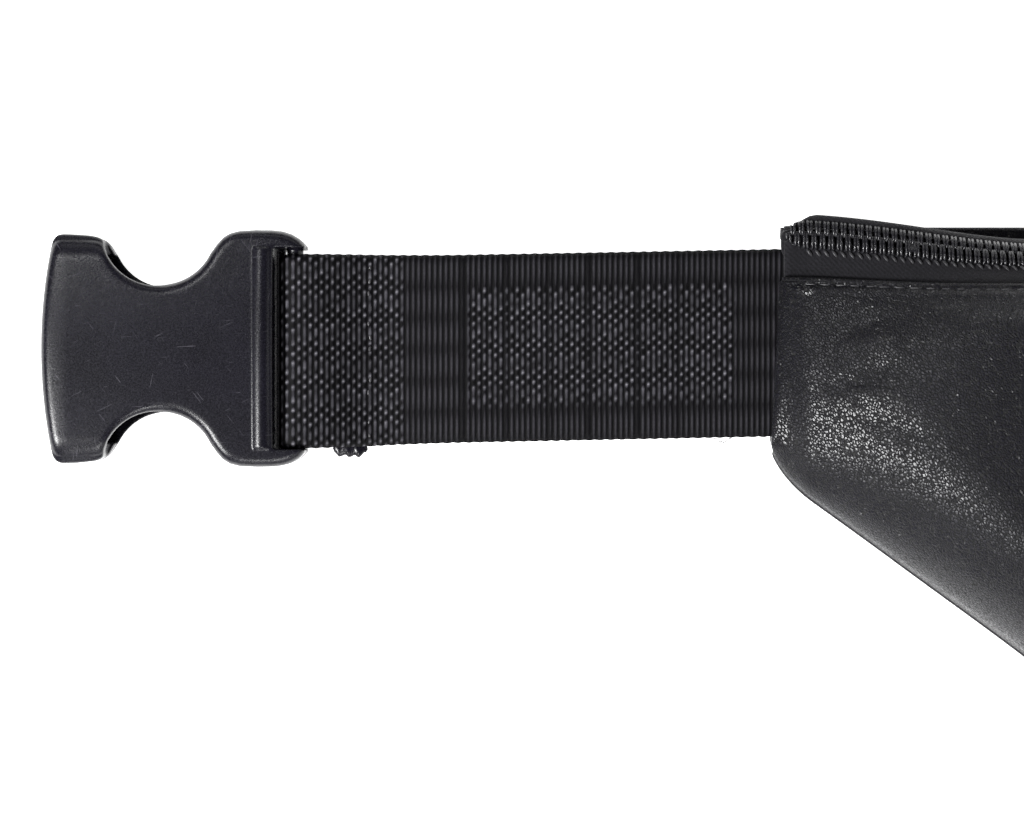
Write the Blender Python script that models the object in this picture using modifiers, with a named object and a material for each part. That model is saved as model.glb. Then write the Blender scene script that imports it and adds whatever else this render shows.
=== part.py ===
"""Money belt: a zipped leather pouch between two webbing straps, with a side-release buckle.

Metres, +Z up. The belt lies on its back. X runs along the belt toward the male buckle,
Y runs toward the zip and Z out of the pouch's front. The origin is the centre of the
pouch's flat back face. The far strap is folded back on itself through the male buckle.
"""
import math

import bmesh
import bpy
from mathutils import Matrix, Vector

# Gap that touching pieces keep between them.
GAP = 0.0003

# Webbing straps.
WEB_WIDTH = 0.038
WEB_THICK = 0.0015
WEB_Y = 0.045

# Pouch outline, seen from the front.
POUCH_HALF = 0.1755
POUCH_TOP = 0.0695
POUCH_BOTTOM = -0.070
POUCH_END_LOW = 0.0200
POUCH_BOTTOM_HALF = 0.057
CORNER_RADIUS = 0.009
BOTTOM_RADIUS = 0.026
LEATHER = 0.0014
LINING = 0.0006
LINING_INSET = 0.004

# Pouch depth: full in the middle, thin at the sewn ends.
DEPTH_MID = 0.0265
DEPTH_END = 0.0080
DEPTH_RUN = 0.065
LOW_ROUND = 0.020
END_ROUND = 0.007
RIM_SPARE = 0.0010
FRONT_COLUMNS = 34
FRONT_ROWS = 14

# Zip plane: its centre line, its tilt about X and its closed length.
ZIP_Y = 0.063
ZIP_Z = 0.011
ZIP_TILT = math.radians(-40.0)
ZIP_HALF = 0.150
ZIP_ACROSS = Vector((0.0, math.cos(ZIP_TILT), math.sin(ZIP_TILT)))
ZIP_OUT = Vector((0.0, -math.sin(ZIP_TILT), math.cos(ZIP_TILT)))
COIL_NEAR = 0.0007
COIL_FAR = 0.0031
COIL_HALF_HEIGHT = 0.0011
TAPE = 0.0006
FRONT_TAPE_EDGE = 0.015
LIP_EDGE = 0.0095
LIP_BACK = 0.022
PANEL_EDGE = 0.0120

# Slider and puller, in the zip plane: x along the zip, s across it, n out of it.
SLIDER_X = 0.1405
SLIDER_HALF = 0.0055
SLIDER_WIDE = 0.0046
PLATE_IN = 0.0014
PLATE_OUT = 0.0024
PIN_OUT = 0.00365
PIN_RADIUS = 0.0005
PULLER_LENGTH = 0.027

# Female buckle: plan lengths run from its mouth toward the strap.
SHELL_X = -0.3262
SHELL_HEIGHT = 0.0124
SHELL_HALF = 0.0238
SHELL_WALL = 0.0022
SOCKET_HALF = 0.0190
SOCKET_DEPTH = 0.0385
NOTCH_CENTRE = (0.0233, 0.0249)
NOTCH_RADIUS = 0.0115
REAR_SLOT = 0.0470
REAR_CLEAR = 0.0205
BAR_X = -0.2738
BAR_Z = 0.0060
BAR_RADIUS = 0.0018
WRAP_RADIUS = BAR_RADIUS + 0.00025 + WEB_THICK / 2

# Left strap: from the pouch's end seam, round the bar and back to its cut end.
STRAP_END = 0.1769
STRAP_END_Z = 0.0030
STITCH_X = -0.2545
STITCH_Z = 0.0046
CUT_END_X = -0.2575

# Right strap: lower layer, adjuster, tail and keeper.
LOWER_Z = 0.0020
TAIL_Z = LOWER_Z + WEB_THICK + 0.00035
FRONT_BAR_X = 0.4400
REAR_BAR_X = 0.4240
MALE_BAR_Z = 0.0072
MALE_LOW = 0.0031
MALE_HIGH = 0.0110
RAIL_IN = 0.0205
RAIL_OUT = 0.0236
BASE_X = (0.4475, 0.4560)
TAIL_END_X = 0.3560
TAIL_DOWN_X = 0.3950
KEEPER_X = (0.3660, 0.3740)
KEEPER_WALL = 0.00085

# Male buckle's tongue and prongs.
PRONG_LOW = 0.0040
PRONG_HIGH = 0.0102
PRONG_GAP = 0.0005
PRONG_ROOT = 0.0150
TONGUE_HALF = 0.0038
TONGUE_LENGTH = 0.0300

parts = bpy.data.collections.new("money_belt")
cutters = bpy.data.collections.new("cutters")


def clear_scene():
    for old in list(bpy.data.objects):
        bpy.data.objects.remove(old)
    bpy.context.scene.collection.children.link(parts)
    bpy.context.scene.collection.children.link(cutters)


def material(name, colour, roughness, metallic=0.0):
    made = bpy.data.materials.new(name)
    made.use_nodes = True
    shader = made.node_tree.nodes["Principled BSDF"]
    shader.inputs["Base Color"].default_value = (*colour, 1.0)
    shader.inputs["Roughness"].default_value = roughness
    shader.inputs["Metallic"].default_value = metallic
    return made


def move_to(obj, collection):
    for holder in list(obj.users_collection):
        holder.objects.unlink(obj)
    collection.objects.link(obj)


def finish(obj, name, look):
    obj.name = name
    obj.data.name = name
    obj.data.materials.clear()
    obj.data.materials.append(look)
    move_to(obj, parts)
    return obj


def as_cutter(obj, name):
    obj.name = name
    obj.hide_render = True
    obj.display_type = "WIRE"
    move_to(obj, cutters)
    return obj


def apply_scale(obj):
    obj.data.transform(Matrix.Diagonal((*obj.scale, 1.0)))
    obj.scale = (1.0, 1.0, 1.0)


def plain_box(low, high):
    """A box between two corners, with its origin at its centre."""
    low, high = Vector(low), Vector(high)
    bpy.ops.mesh.primitive_cube_add(size=1.0, location=(low + high) / 2)
    obj = bpy.context.object
    obj.scale = high - low
    apply_scale(obj)
    return obj


def zip_point(x, across, out):
    """A point given along the zip, across it toward the back, and out of its plane."""
    return Vector((x, ZIP_Y, ZIP_Z)) + ZIP_ACROSS * across + ZIP_OUT * out


def zip_box(x_range, across_range, out_range):
    """A box lined up with the tilted zip plane."""
    low = Vector((x_range[0], across_range[0], out_range[0]))
    high = Vector((x_range[1], across_range[1], out_range[1]))
    middle = (low + high) / 2
    bpy.ops.mesh.primitive_cube_add(size=1.0, location=zip_point(*middle))
    obj = bpy.context.object
    obj.scale = high - low
    apply_scale(obj)
    obj.rotation_euler = (ZIP_TILT, 0.0, 0.0)
    return obj


def rod(start, end, radius, sides=16):
    start, end = Vector(start), Vector(end)
    bpy.ops.mesh.primitive_cylinder_add(
        vertices=sides, radius=radius, depth=(end - start).length, location=(start + end) / 2)
    obj = bpy.context.object
    obj.rotation_euler = (end - start).to_track_quat("Z", "Y").to_euler()
    return obj


def add_bevel(obj, width, segments=1):
    bevel = obj.modifiers.new("round", "BEVEL")
    bevel.width = width
    bevel.segments = segments
    bevel.limit_method = "ANGLE"
    bevel.angle_limit = math.radians(45.0)


def boolean(obj, other, operation):
    cut = obj.modifiers.new(operation.lower(), "BOOLEAN")
    cut.operation = operation
    cut.solver = "EXACT"
    cut.object = other


def arc(centre, radius, start, end, steps):
    """Points on a circle, from one angle in degrees to another."""
    points = []
    for i in range(steps + 1):
        angle = math.radians(start + (end - start) * i / steps)
        points.append((centre[0] + radius * math.cos(angle), centre[1] + radius * math.sin(angle)))
    return points


def rounded(corners, radii, steps=6):
    """A closed outline whose corners are replaced by arcs."""
    points = []
    for i, corner in enumerate(corners):
        here = Vector(corner)
        back = (Vector(corners[i - 1]) - here).normalized()
        ahead = (Vector(corners[(i + 1) % len(corners)]) - here).normalized()
        half = back.angle(ahead) / 2
        reach = radii[i] / math.tan(half)
        centre = here + (back + ahead).normalized() * (radii[i] / math.sin(half))
        first = here + back * reach - centre
        last = here + ahead * reach - centre
        turn = first.angle_signed(last)
        for k in range(steps + 1):
            spin = Matrix.Rotation(-turn * k / steps, 2)
            points.append(tuple(centre + spin @ first))
    return points


def strip(path, thick):
    """The closed outline of a strip of even thickness along an open path."""
    near, far = [], []
    for i, point in enumerate(path):
        before = Vector(path[max(i - 1, 0)])
        after = Vector(path[min(i + 1, len(path) - 1)])
        along = (after - before).normalized()
        side = Vector((-along.y, along.x)) * (thick / 2)
        near.append(tuple(Vector(point) + side))
        far.append(tuple(Vector(point) - side))
    return near + far[::-1]


def outline_solid(points, half_thick, placed=Matrix.Identity(4), holes=()):
    """A flat outline extruded both ways, turned into a closed mesh."""
    curve = bpy.data.curves.new("outline", "CURVE")
    curve.dimensions = "2D"
    curve.fill_mode = "BOTH"
    curve.extrude = half_thick
    for loop in (points, *holes):
        spline = curve.splines.new("POLY")
        spline.points.add(len(loop) - 1)
        for knot, (a, b) in zip(spline.points, loop):
            knot.co = (a, b, 0.0, 1.0)
        spline.use_cyclic_u = True
    drawn = bpy.data.objects.new("outline", curve)
    parts.objects.link(drawn)
    drawn.matrix_world = placed
    bpy.context.view_layer.update()
    evaluated = drawn.evaluated_get(bpy.context.evaluated_depsgraph_get())
    mesh = bpy.data.meshes.new_from_object(evaluated)
    welded = bmesh.new()
    welded.from_mesh(mesh)
    bmesh.ops.remove_doubles(welded, verts=welded.verts, dist=0.000001)
    bmesh.ops.recalc_face_normals(welded, faces=welded.faces)
    welded.to_mesh(mesh)
    welded.free()
    obj = bpy.data.objects.new("outline_solid", mesh)
    parts.objects.link(obj)
    obj.matrix_world = placed
    bpy.data.objects.remove(drawn)
    return obj


def facing_x(x=0.0):
    """Local x, y, z become world Y, Z, X."""
    return Matrix(((0, 0, 1, x), (1, 0, 0, 0), (0, 1, 0, 0), (0, 0, 0, 1)))


def facing_y(y=0.0):
    """Local x, y, z become world X, Z, -Y."""
    return Matrix(((1, 0, 0, 0), (0, 0, -1, y), (0, 1, 0, 0), (0, 0, 0, 1)))


def smooth_step(t):
    t = min(max(t, 0.0), 1.0)
    return t * t * (3.0 - 2.0 * t)


def quarter_round(t):
    t = min(max(t, 0.0), 1.0)
    return math.sqrt(1.0 - (1.0 - t) ** 2)


def lower_edge(x):
    """The pouch outline's lower side at x, with the bottom corners eased."""
    slope = (POUCH_END_LOW - POUCH_BOTTOM) / (POUCH_HALF - POUCH_BOTTOM_HALF)
    straight = POUCH_BOTTOM + slope * (abs(x) - POUCH_BOTTOM_HALF)
    ease = 0.004
    lift = math.sqrt((straight - POUCH_BOTTOM) ** 2 + ease ** 2)
    low = (straight + POUCH_BOTTOM + lift) / 2
    into_corner = max(0.0, abs(x) - (POUCH_HALF - CORNER_RADIUS)) / CORNER_RADIUS
    return low + CORNER_RADIUS * 0.55 * (1.0 - math.sqrt(1.0 - min(into_corner, 1.0) ** 2))


def pouch_depth(x):
    inward = (POUCH_HALF - abs(x)) / DEPTH_RUN
    full = DEPTH_END + (DEPTH_MID - DEPTH_END) * math.sin(math.pi / 2 * min(inward, 1.0))
    return full


def front_height(x, y, rim):
    """Height of the front panel's outer face over the back."""
    from_low = quarter_round((y - lower_edge(x)) / LOW_ROUND)
    from_end = quarter_round((POUCH_HALF - abs(x)) / END_ROUND)
    low_rim = rim - RIM_SPARE
    dome = low_rim + (pouch_depth(x) - low_rim) * from_low * from_end
    edge = zip_point(0.0, -PANEL_EDGE, -0.0006)
    end_drop = 0.0115 * (1.0 - smooth_step((POUCH_HALF - abs(x)) / 0.045))
    plane = edge.z - end_drop + (edge.y - y) * math.tan(-ZIP_TILT)
    soft = 0.0012
    low = (dome + plane - math.sqrt((dome - plane) ** 2 + soft ** 2)) / 2
    return max(low, low_rim)


def front_shell(inward, thick, rim, trim, rows):
    """The domed front as an open sheet over the outline, then thickened inward."""
    sheet = bmesh.new()
    columns = FRONT_COLUMNS
    bmesh.ops.create_grid(sheet, x_segments=columns, y_segments=rows, size=1.0)
    top = zip_point(0.0, -PANEL_EDGE, 0.0).y - trim
    half = POUCH_HALF - inward
    for vert in sheet.verts:
        x = half * math.sin(vert.co.x * math.pi / 2 * 0.985) / math.sin(math.pi / 2 * 0.985)
        bottom = lower_edge(x) + inward
        t = 1.0 - math.cos((vert.co.y + 1.0) * math.pi / 4)
        y = bottom + (top - bottom) * t
        deep = front_height(x * POUCH_HALF / half, y - inward * (1.0 - t), rim) - inward
        vert.co = (x, y, max(deep, rim - RIM_SPARE))
    bmesh.ops.recalc_face_normals(sheet, faces=sheet.faces)
    mesh = bpy.data.meshes.new("front")
    sheet.to_mesh(mesh)
    sheet.free()
    obj = bpy.data.objects.new("front", mesh)
    parts.objects.link(obj)
    if mesh.polygons[len(mesh.polygons) // 2].normal.z < 0:
        mesh.flip_normals()
    solid = obj.modifiers.new("leather", "SOLIDIFY")
    solid.thickness = thick
    solid.offset = -1.0
    under = plain_box((-POUCH_HALF - 0.01, POUCH_BOTTOM - 0.01, -0.01),
                      (POUCH_HALF + 0.01, POUCH_TOP + 0.01, rim))
    boolean(obj, as_cutter(under, "under_rim"), "DIFFERENCE")
    return obj


def pouch_outline(inset):
    """The pouch's plan outline, drawn in from its edge by an inset."""
    slant = inset * 1.3
    corners = [
        (-POUCH_HALF + inset, POUCH_TOP - inset),
        (-POUCH_HALF + inset, POUCH_END_LOW + slant / 2),
        (-POUCH_BOTTOM_HALF + slant / 3, POUCH_BOTTOM + inset),
        (POUCH_BOTTOM_HALF - slant / 3, POUCH_BOTTOM + inset),
        (POUCH_HALF - inset, POUCH_END_LOW + slant / 2),
        (POUCH_HALF - inset, POUCH_TOP - inset),
    ]
    low, deep = CORNER_RADIUS, BOTTOM_RADIUS
    return rounded(corners, [0.003, low, deep, deep, low, 0.003])


def make_panels(leather, cloth):
    lift = Matrix.Translation((0.0, 0.0, LEATHER / 2))
    back = outline_solid(pouch_outline(0.0), LEATHER / 2, lift)
    finish(back, "back_panel", leather)

    front = front_shell(0.0, LEATHER, LEATHER + GAP, 0.0, FRONT_ROWS)
    finish(front, "front_panel", leather)

    lift = Matrix.Translation((0.0, 0.0, LEATHER + GAP + LINING / 2))
    lining_back = outline_solid(pouch_outline(LINING_INSET), LINING / 2, lift)
    finish(lining_back, "lining_back", cloth)

    rim = LEATHER + LINING + 2 * GAP
    inner = front_shell(LEATHER + 0.0014, LINING, rim, 0.003, FRONT_ROWS - 3)
    finish(inner, "lining_front", cloth)


def make_zip(leather, tape, coil):
    """Tapes, coils, ends and stops. The coils leave room for the slider's post between them."""
    run = (-ZIP_HALF, ZIP_HALF)
    lip = zip_box(run, (-LIP_BACK, -LIP_EDGE), (TAPE / 2 + GAP, TAPE / 2 + GAP + LEATHER))
    add_bevel(lip, 0.0004)
    finish(lip, "lip_facing", leather)

    tape_in = COIL_FAR + GAP
    front_tape = zip_box(run, (-FRONT_TAPE_EDGE, -tape_in), (-TAPE / 2, TAPE / 2))
    finish(front_tape, "zip_tape_front", tape)

    start = zip_point(0.0, tape_in, 0.0)
    bend = zip_point(0.0, 0.0068, 0.0)
    back_path = [(start.y, start.z), (bend.y, bend.z)]
    back_path += arc((bend.y - 0.0024, 0.0047), 0.0030, 35.0, -50.0, 6)
    back_tape = outline_solid(strip(back_path, TAPE), ZIP_HALF, facing_x())
    finish(back_tape, "zip_tape_back", tape)

    for name, side in (("zip_coil_front", -1), ("zip_coil_back", 1)):
        reach = sorted((side * COIL_NEAR, side * COIL_FAR))
        bar = zip_box(run, reach, (-COIL_HALF_HEIGHT, COIL_HALF_HEIGHT))
        add_bevel(bar, 0.0004)
        finish(bar, name, coil)


def make_zip_ends(tape, metal):
    """Folded tape ends that run out to the end seams, and the stops beside them."""
    outer = POUCH_HALF - 0.0020
    inner = ZIP_HALF + GAP
    for name, side in (("zip_end_left", -1), ("zip_end_right", 1)):
        span = sorted((side * inner, side * outer))
        end = zip_box(span, (-0.0060, 0.0048), (-0.0008, 0.0010))
        middle = (outer + inner) / 2
        turned = Matrix.Rotation(-ZIP_TILT, 3, "X")
        shift = turned @ Vector((0.0, 0.0042, -0.0058))
        for vert in end.data.vertices:
            if vert.co.x * side > 0:
                vert.co += shift
        end.location.x = side * middle
        finish(end, name, tape)

    for name, side in (("zip_stop_left", -1), ("zip_stop_right", 1)):
        span = sorted((side * (ZIP_HALF - 0.0026), side * (ZIP_HALF - 0.0004)))
        above = COIL_HALF_HEIGHT + GAP
        stop = zip_box(span, (COIL_NEAR, COIL_FAR + 0.0008), (above, above + 0.0007))
        finish(stop, name, metal)


def make_slider(metal):
    x_range = (SLIDER_X - SLIDER_HALF, SLIDER_X + SLIDER_HALF)
    wide = (-SLIDER_WIDE, SLIDER_WIDE)
    body = zip_box(x_range, wide, (PLATE_IN, PLATE_OUT))
    add_bevel(body, 0.0005, 2)
    inner_plate = zip_box(x_range, wide, (-PLATE_OUT, -PLATE_IN))
    post = zip_box((SLIDER_X, SLIDER_X + 0.0040), (-0.00045, 0.00045), (-0.0018, 0.0018))
    bridge = zip_box((SLIDER_X - 0.0035, SLIDER_X + 0.0035), (-0.0008, 0.0008), (0.0020, 0.0052))
    hole = zip_box((SLIDER_X - 0.0016, SLIDER_X + 0.0016), (-0.002, 0.002), (0.0028, 0.0044))
    for obj, name in ((inner_plate, "slider_inner"), (post, "slider_post"), (bridge, "slider_bridge")):
        boolean(body, as_cutter(obj, name), "UNION")
    boolean(body, as_cutter(hole, "slider_hole"), "DIFFERENCE")
    finish(body, "slider_body", metal)


def make_puller(metal):
    """A flat pull whose pin sits in the slider's bridge; its origin is on the pin's axis."""
    ring_half = 0.0021
    slot_half = 0.0011
    slot_end = 0.0052
    tab_half = 0.0032
    shape = rounded(
        [(-PULLER_LENGTH, -tab_half), (-0.0085, -tab_half), (-0.0060, -ring_half),
         (0.0004, -ring_half), (0.0004, ring_half), (-0.0060, ring_half),
         (-0.0085, tab_half), (-PULLER_LENGTH, tab_half)],
        [0.0020, 0.0008, 0.0008, 0.0003, 0.0003, 0.0008, 0.0008, 0.0020], 3)
    bridge_slot = rounded(
        [(-slot_end, -slot_half), (-PIN_RADIUS, -slot_half), (-PIN_RADIUS, slot_half),
         (-slot_end, slot_half)], [0.0003] * 4, 2)
    pull_hole = arc((-PULLER_LENGTH + 0.0045, 0.0), 0.0016, 0.0, 337.5, 15)
    place = Matrix.Translation(zip_point(SLIDER_X, 0.0, PIN_OUT)) @ Matrix.Rotation(ZIP_TILT, 4, "X")
    pull = outline_solid(shape, 0.00045, place, (bridge_slot, pull_hole))
    finish(pull, "slider_puller", metal)


def make_left_strap(webbing):
    """One length of webbing: from the pouch, over the bar, round it and back underneath."""
    steps = 10
    path = [(-STRAP_END, STRAP_END_Z), (STITCH_X, STITCH_Z)]
    top = BAR_Z + WRAP_RADIUS
    for i in range(1, steps):
        t = i / steps
        path.append((STITCH_X + (BAR_X - STITCH_X) * t, STITCH_Z + (top - STITCH_Z) * smooth_step(t)))
    path += arc((BAR_X, BAR_Z), WRAP_RADIUS, 90.0, 270.0, 14)
    path.append((CUT_END_X, BAR_Z - WRAP_RADIUS + 0.0001))
    strap = outline_solid(strip(path, WEB_THICK), WEB_WIDTH / 2, facing_y(WEB_Y))
    finish(strap, "left_webbing", webbing)


def shell_outline():
    """Half of the female buckle's plan, from mouth to strap, then mirrored about its middle."""
    bow = 0.0026
    bow_radius = (SHELL_HALF ** 2 + bow ** 2) / (2 * bow)
    sweep = math.degrees(math.asin(SHELL_HALF / bow_radius))
    half = arc((bow_radius, 0.0), bow_radius, 180.0, 180.0 - sweep, 6)
    half += [(0.0132, 0.0226)]
    half += arc(NOTCH_CENTRE, NOTCH_RADIUS, 210.5, 343.5, 14)
    half += [(0.0368, 0.0234), (0.0400, 0.0241), (0.0470, 0.0242), (0.0520, 0.0232), (0.0552, 0.0212)]
    lower = [(length, -side) for length, side in half[1:][::-1]]
    return half + lower


def make_female_buckle(plastic):
    place = Matrix.Translation((SHELL_X, WEB_Y, SHELL_HEIGHT / 2))
    shell = outline_solid(shell_outline(), SHELL_HEIGHT / 2, place)
    add_bevel(shell, 0.0018, 2)
    bottom, top = SHELL_WALL, SHELL_HEIGHT - SHELL_WALL
    socket = plain_box(
        (SHELL_X - 0.002, WEB_Y - SOCKET_HALF, bottom),
        (SHELL_X + SOCKET_DEPTH, WEB_Y + SOCKET_HALF, top))
    boolean(shell, as_cutter(socket, "socket"), "DIFFERENCE")
    slot = plain_box(
        (SHELL_X + REAR_SLOT, WEB_Y - REAR_CLEAR, -0.001),
        (SHELL_X + 0.060, WEB_Y + REAR_CLEAR, SHELL_HEIGHT + 0.001))
    boolean(shell, as_cutter(slot, "rear_slot"), "DIFFERENCE")
    reach = REAR_CLEAR + 0.0015
    bar = rod((BAR_X, WEB_Y - reach, BAR_Z), (BAR_X, WEB_Y + reach, BAR_Z), BAR_RADIUS)
    boolean(shell, as_cutter(bar, "rear_bar"), "UNION")
    finish(shell, "female_buckle_shell", plastic)


def make_right_strap(webbing, elastic):
    """Lower layer from the pouch, the turn round the bar, and the tail that lies on top."""
    lower = [(STRAP_END, STRAP_END_Z), (STRAP_END + 0.008, STRAP_END_Z - 0.0003)]
    lower += [(STRAP_END + 0.020, LOWER_Z), (REAR_BAR_X - 0.0005, LOWER_Z)]
    layer = outline_solid(strip(lower, WEB_THICK), WEB_WIDTH / 2, facing_y(WEB_Y))
    finish(layer, "right_webbing", webbing)

    turn = [(REAR_BAR_X + 0.0022, TAIL_Z), (FRONT_BAR_X - 0.0060, TAIL_Z + 0.0001)]
    turn += arc((FRONT_BAR_X, MALE_BAR_Z), WRAP_RADIUS, -90.0, 90.0, 12)
    turn += [(FRONT_BAR_X - 0.0070, MALE_BAR_Z + WRAP_RADIUS)]
    wrap = outline_solid(strip(turn, WEB_THICK), WEB_WIDTH / 2, facing_y(WEB_Y))
    finish(wrap, "right_webbing_turn", webbing)

    high_x = REAR_BAR_X - 0.0020
    high = MALE_BAR_Z + WRAP_RADIUS
    tail = [(FRONT_BAR_X - 0.0070 - GAP, high), (high_x, high)]
    steps = 8
    for i in range(1, steps + 1):
        t = i / steps
        tail.append((high_x + (TAIL_DOWN_X - high_x) * t, high + (TAIL_Z - high) * smooth_step(t)))
    tail.append((TAIL_END_X, TAIL_Z))
    end = outline_solid(strip(tail, WEB_THICK), WEB_WIDTH / 2, facing_y(WEB_Y))
    finish(end, "right_webbing_tail", webbing)

    clear = WEB_THICK / 2 + GAP
    low, high = LOWER_Z - clear, TAIL_Z + clear
    half = WEB_WIDTH / 2 + 0.0005
    wall = KEEPER_WALL
    keeper = plain_box(
        (KEEPER_X[0], WEB_Y - half - wall, low - wall),
        (KEEPER_X[1], WEB_Y + half + wall, high + wall))
    inside = plain_box(
        (KEEPER_X[0] - 0.001, WEB_Y - half, low), (KEEPER_X[1] + 0.001, WEB_Y + half, high))
    boolean(keeper, as_cutter(inside, "keeper_inside"), "DIFFERENCE")
    finish(keeper, "strap_keeper", elastic)


def make_male_buckle(plastic):
    """Adjuster frame with two bars, a base block and the centre tongue, all one moulding."""
    middle = (MALE_LOW + MALE_HIGH) / 2
    half_height = (MALE_HIGH - MALE_LOW) / 2
    back = REAR_BAR_X - 0.0028
    plan = rounded(
        [(back, -RAIL_OUT), (BASE_X[1], -RAIL_OUT), (BASE_X[1], RAIL_OUT), (back, RAIL_OUT)],
        [0.0025, 0.0030, 0.0030, 0.0025], 4)
    place = Matrix.Translation((0.0, WEB_Y, middle))
    frame = outline_solid(plan, half_height, place)
    add_bevel(frame, 0.0010, 2)
    window = plain_box(
        (back - 0.002, WEB_Y - RAIL_IN, MALE_LOW - 0.001),
        (BASE_X[0], WEB_Y + RAIL_IN, MALE_HIGH + 0.001))
    boolean(frame, as_cutter(window, "adjuster_window"), "DIFFERENCE")
    reach = RAIL_IN + 0.0015
    for name, x, radius in (("front_bar", FRONT_BAR_X, BAR_RADIUS), ("grip_bar", REAR_BAR_X, 0.0016)):
        bar = rod((x, WEB_Y - reach, MALE_BAR_Z), (x, WEB_Y + reach, MALE_BAR_Z), radius)
        boolean(frame, as_cutter(bar, name), "UNION")
    tip = BASE_X[1] + TONGUE_LENGTH
    tongue_plan = rounded(
        [(BASE_X[1] - 0.002, -TONGUE_HALF), (tip, -TONGUE_HALF * 0.7), (tip, TONGUE_HALF * 0.7),
         (BASE_X[1] - 0.002, TONGUE_HALF)], [0.0003, 0.0018, 0.0018, 0.0003], 3)
    tongue = outline_solid(tongue_plan, 0.0022, place)
    boolean(frame, as_cutter(tongue, "tongue"), "UNION")
    finish(frame, "male_buckle_frame", plastic)


def prong_outline():
    """Plan of one springy prong: a thin root, the finger button, the catch and the tip."""
    outer = [(0.0, 0.0022), (0.0080, 0.0016), (0.0146, 0.0024), (0.0150, 0.0066)]
    outer += arc((0.0215, 0.0012), 0.0071, 118.0, 25.0, 7)
    outer += [(0.0310, 0.0014), (0.0332, -0.0018)]
    inner = [(0.0325, -0.0034), (0.0280, -0.0034), (0.0215, -0.0006), (0.0120, -0.0018), (0.0, -0.0020)]
    return outer + inner


def make_prongs(plastic):
    height = (PRONG_LOW + PRONG_HIGH) / 2
    for name, side in (("prong_upper", 1), ("prong_lower", -1)):
        shape = [(a, b * side) for a, b in prong_outline()]
        root = (BASE_X[1] + PRONG_GAP, WEB_Y + side * PRONG_ROOT, height)
        prong = outline_solid(shape, (PRONG_HIGH - PRONG_LOW) / 2, Matrix.Translation(root))
        add_bevel(prong, 0.0004)
        finish(prong, name, plastic)


def main():
    clear_scene()
    leather = material("pouch_leather", (0.024, 0.024, 0.029), 0.46)
    cloth = material("lining_cloth", (0.020, 0.020, 0.022), 0.85)
    tape = material("zip_tape", (0.018, 0.018, 0.021), 0.80)
    coil = material("zip_coil", (0.016, 0.016, 0.019), 0.42)
    metal = material("slider_metal", (0.110, 0.110, 0.120), 0.34, 1.0)
    webbing = material("webbing", (0.019, 0.019, 0.022), 0.62)
    elastic = material("keeper_elastic", (0.017, 0.017, 0.019), 0.78)
    plastic = material("buckle_plastic", (0.021, 0.020, 0.027), 0.44)
    make_panels(leather, cloth)
    make_zip(leather, tape, coil)
    make_zip_ends(tape, metal)
    make_slider(metal)
    make_puller(metal)
    make_left_strap(webbing)
    make_female_buckle(plastic)
    make_right_strap(webbing, elastic)
    make_male_buckle(plastic)
    make_prongs(plastic)


main()
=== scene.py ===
import math

import bmesh
import bpy
import numpy as np
from mathutils import Matrix, Vector


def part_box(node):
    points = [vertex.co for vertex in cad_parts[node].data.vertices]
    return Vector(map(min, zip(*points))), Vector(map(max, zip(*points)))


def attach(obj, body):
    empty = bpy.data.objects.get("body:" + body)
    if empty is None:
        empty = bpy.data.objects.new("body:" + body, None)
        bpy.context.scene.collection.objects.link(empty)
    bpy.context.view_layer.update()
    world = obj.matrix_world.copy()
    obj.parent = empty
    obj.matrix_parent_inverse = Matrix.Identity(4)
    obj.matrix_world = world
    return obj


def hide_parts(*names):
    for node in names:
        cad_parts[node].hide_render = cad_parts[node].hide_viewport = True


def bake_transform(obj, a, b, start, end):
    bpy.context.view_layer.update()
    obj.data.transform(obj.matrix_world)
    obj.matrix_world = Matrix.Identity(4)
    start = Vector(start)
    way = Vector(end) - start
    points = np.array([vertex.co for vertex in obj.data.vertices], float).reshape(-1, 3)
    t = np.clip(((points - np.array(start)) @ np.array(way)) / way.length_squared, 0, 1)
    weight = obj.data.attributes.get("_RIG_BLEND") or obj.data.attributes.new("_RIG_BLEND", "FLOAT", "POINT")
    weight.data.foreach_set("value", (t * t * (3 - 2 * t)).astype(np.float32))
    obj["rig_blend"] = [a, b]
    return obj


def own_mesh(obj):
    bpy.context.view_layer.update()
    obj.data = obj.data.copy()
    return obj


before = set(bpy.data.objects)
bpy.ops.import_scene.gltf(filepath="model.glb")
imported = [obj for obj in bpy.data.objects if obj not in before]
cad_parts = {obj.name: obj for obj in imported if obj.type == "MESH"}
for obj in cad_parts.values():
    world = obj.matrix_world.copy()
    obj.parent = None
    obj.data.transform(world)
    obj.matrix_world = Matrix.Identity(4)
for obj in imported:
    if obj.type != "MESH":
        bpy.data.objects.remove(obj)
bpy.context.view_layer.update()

MM = 0.001

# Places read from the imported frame.
WEB_LOW, WEB_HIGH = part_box("left_webbing")
SHELL_LOW, SHELL_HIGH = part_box("female_buckle_shell")
LOWER_LOW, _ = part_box("right_webbing")
TAIL_LOW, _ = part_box("right_webbing_tail")
BACK_LOW, BACK_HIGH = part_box("back_panel")
WEB_Y = (WEB_LOW.y + WEB_HIGH.y) / 2
WEB_THICK = 1.5 * MM


# ---------------------------------------------------------------- camera, light and floor

def set_camera():
    """Straight above the left strap, looking down at the belt, with the zip at the top."""
    height = 0.450
    seen_width = 0.2103
    camera = bpy.data.cameras.new("camera")
    camera.sensor_width = 36.0
    camera.lens = camera.sensor_width * height / seen_width
    camera.clip_start = 0.01
    camera.clip_end = 10.0
    holder = bpy.data.objects.new("camera", camera)
    holder.location = (-0.2296, 0.0312, 0.003 + height)
    bpy.context.scene.collection.objects.link(holder)
    bpy.context.scene.camera = holder


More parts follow.
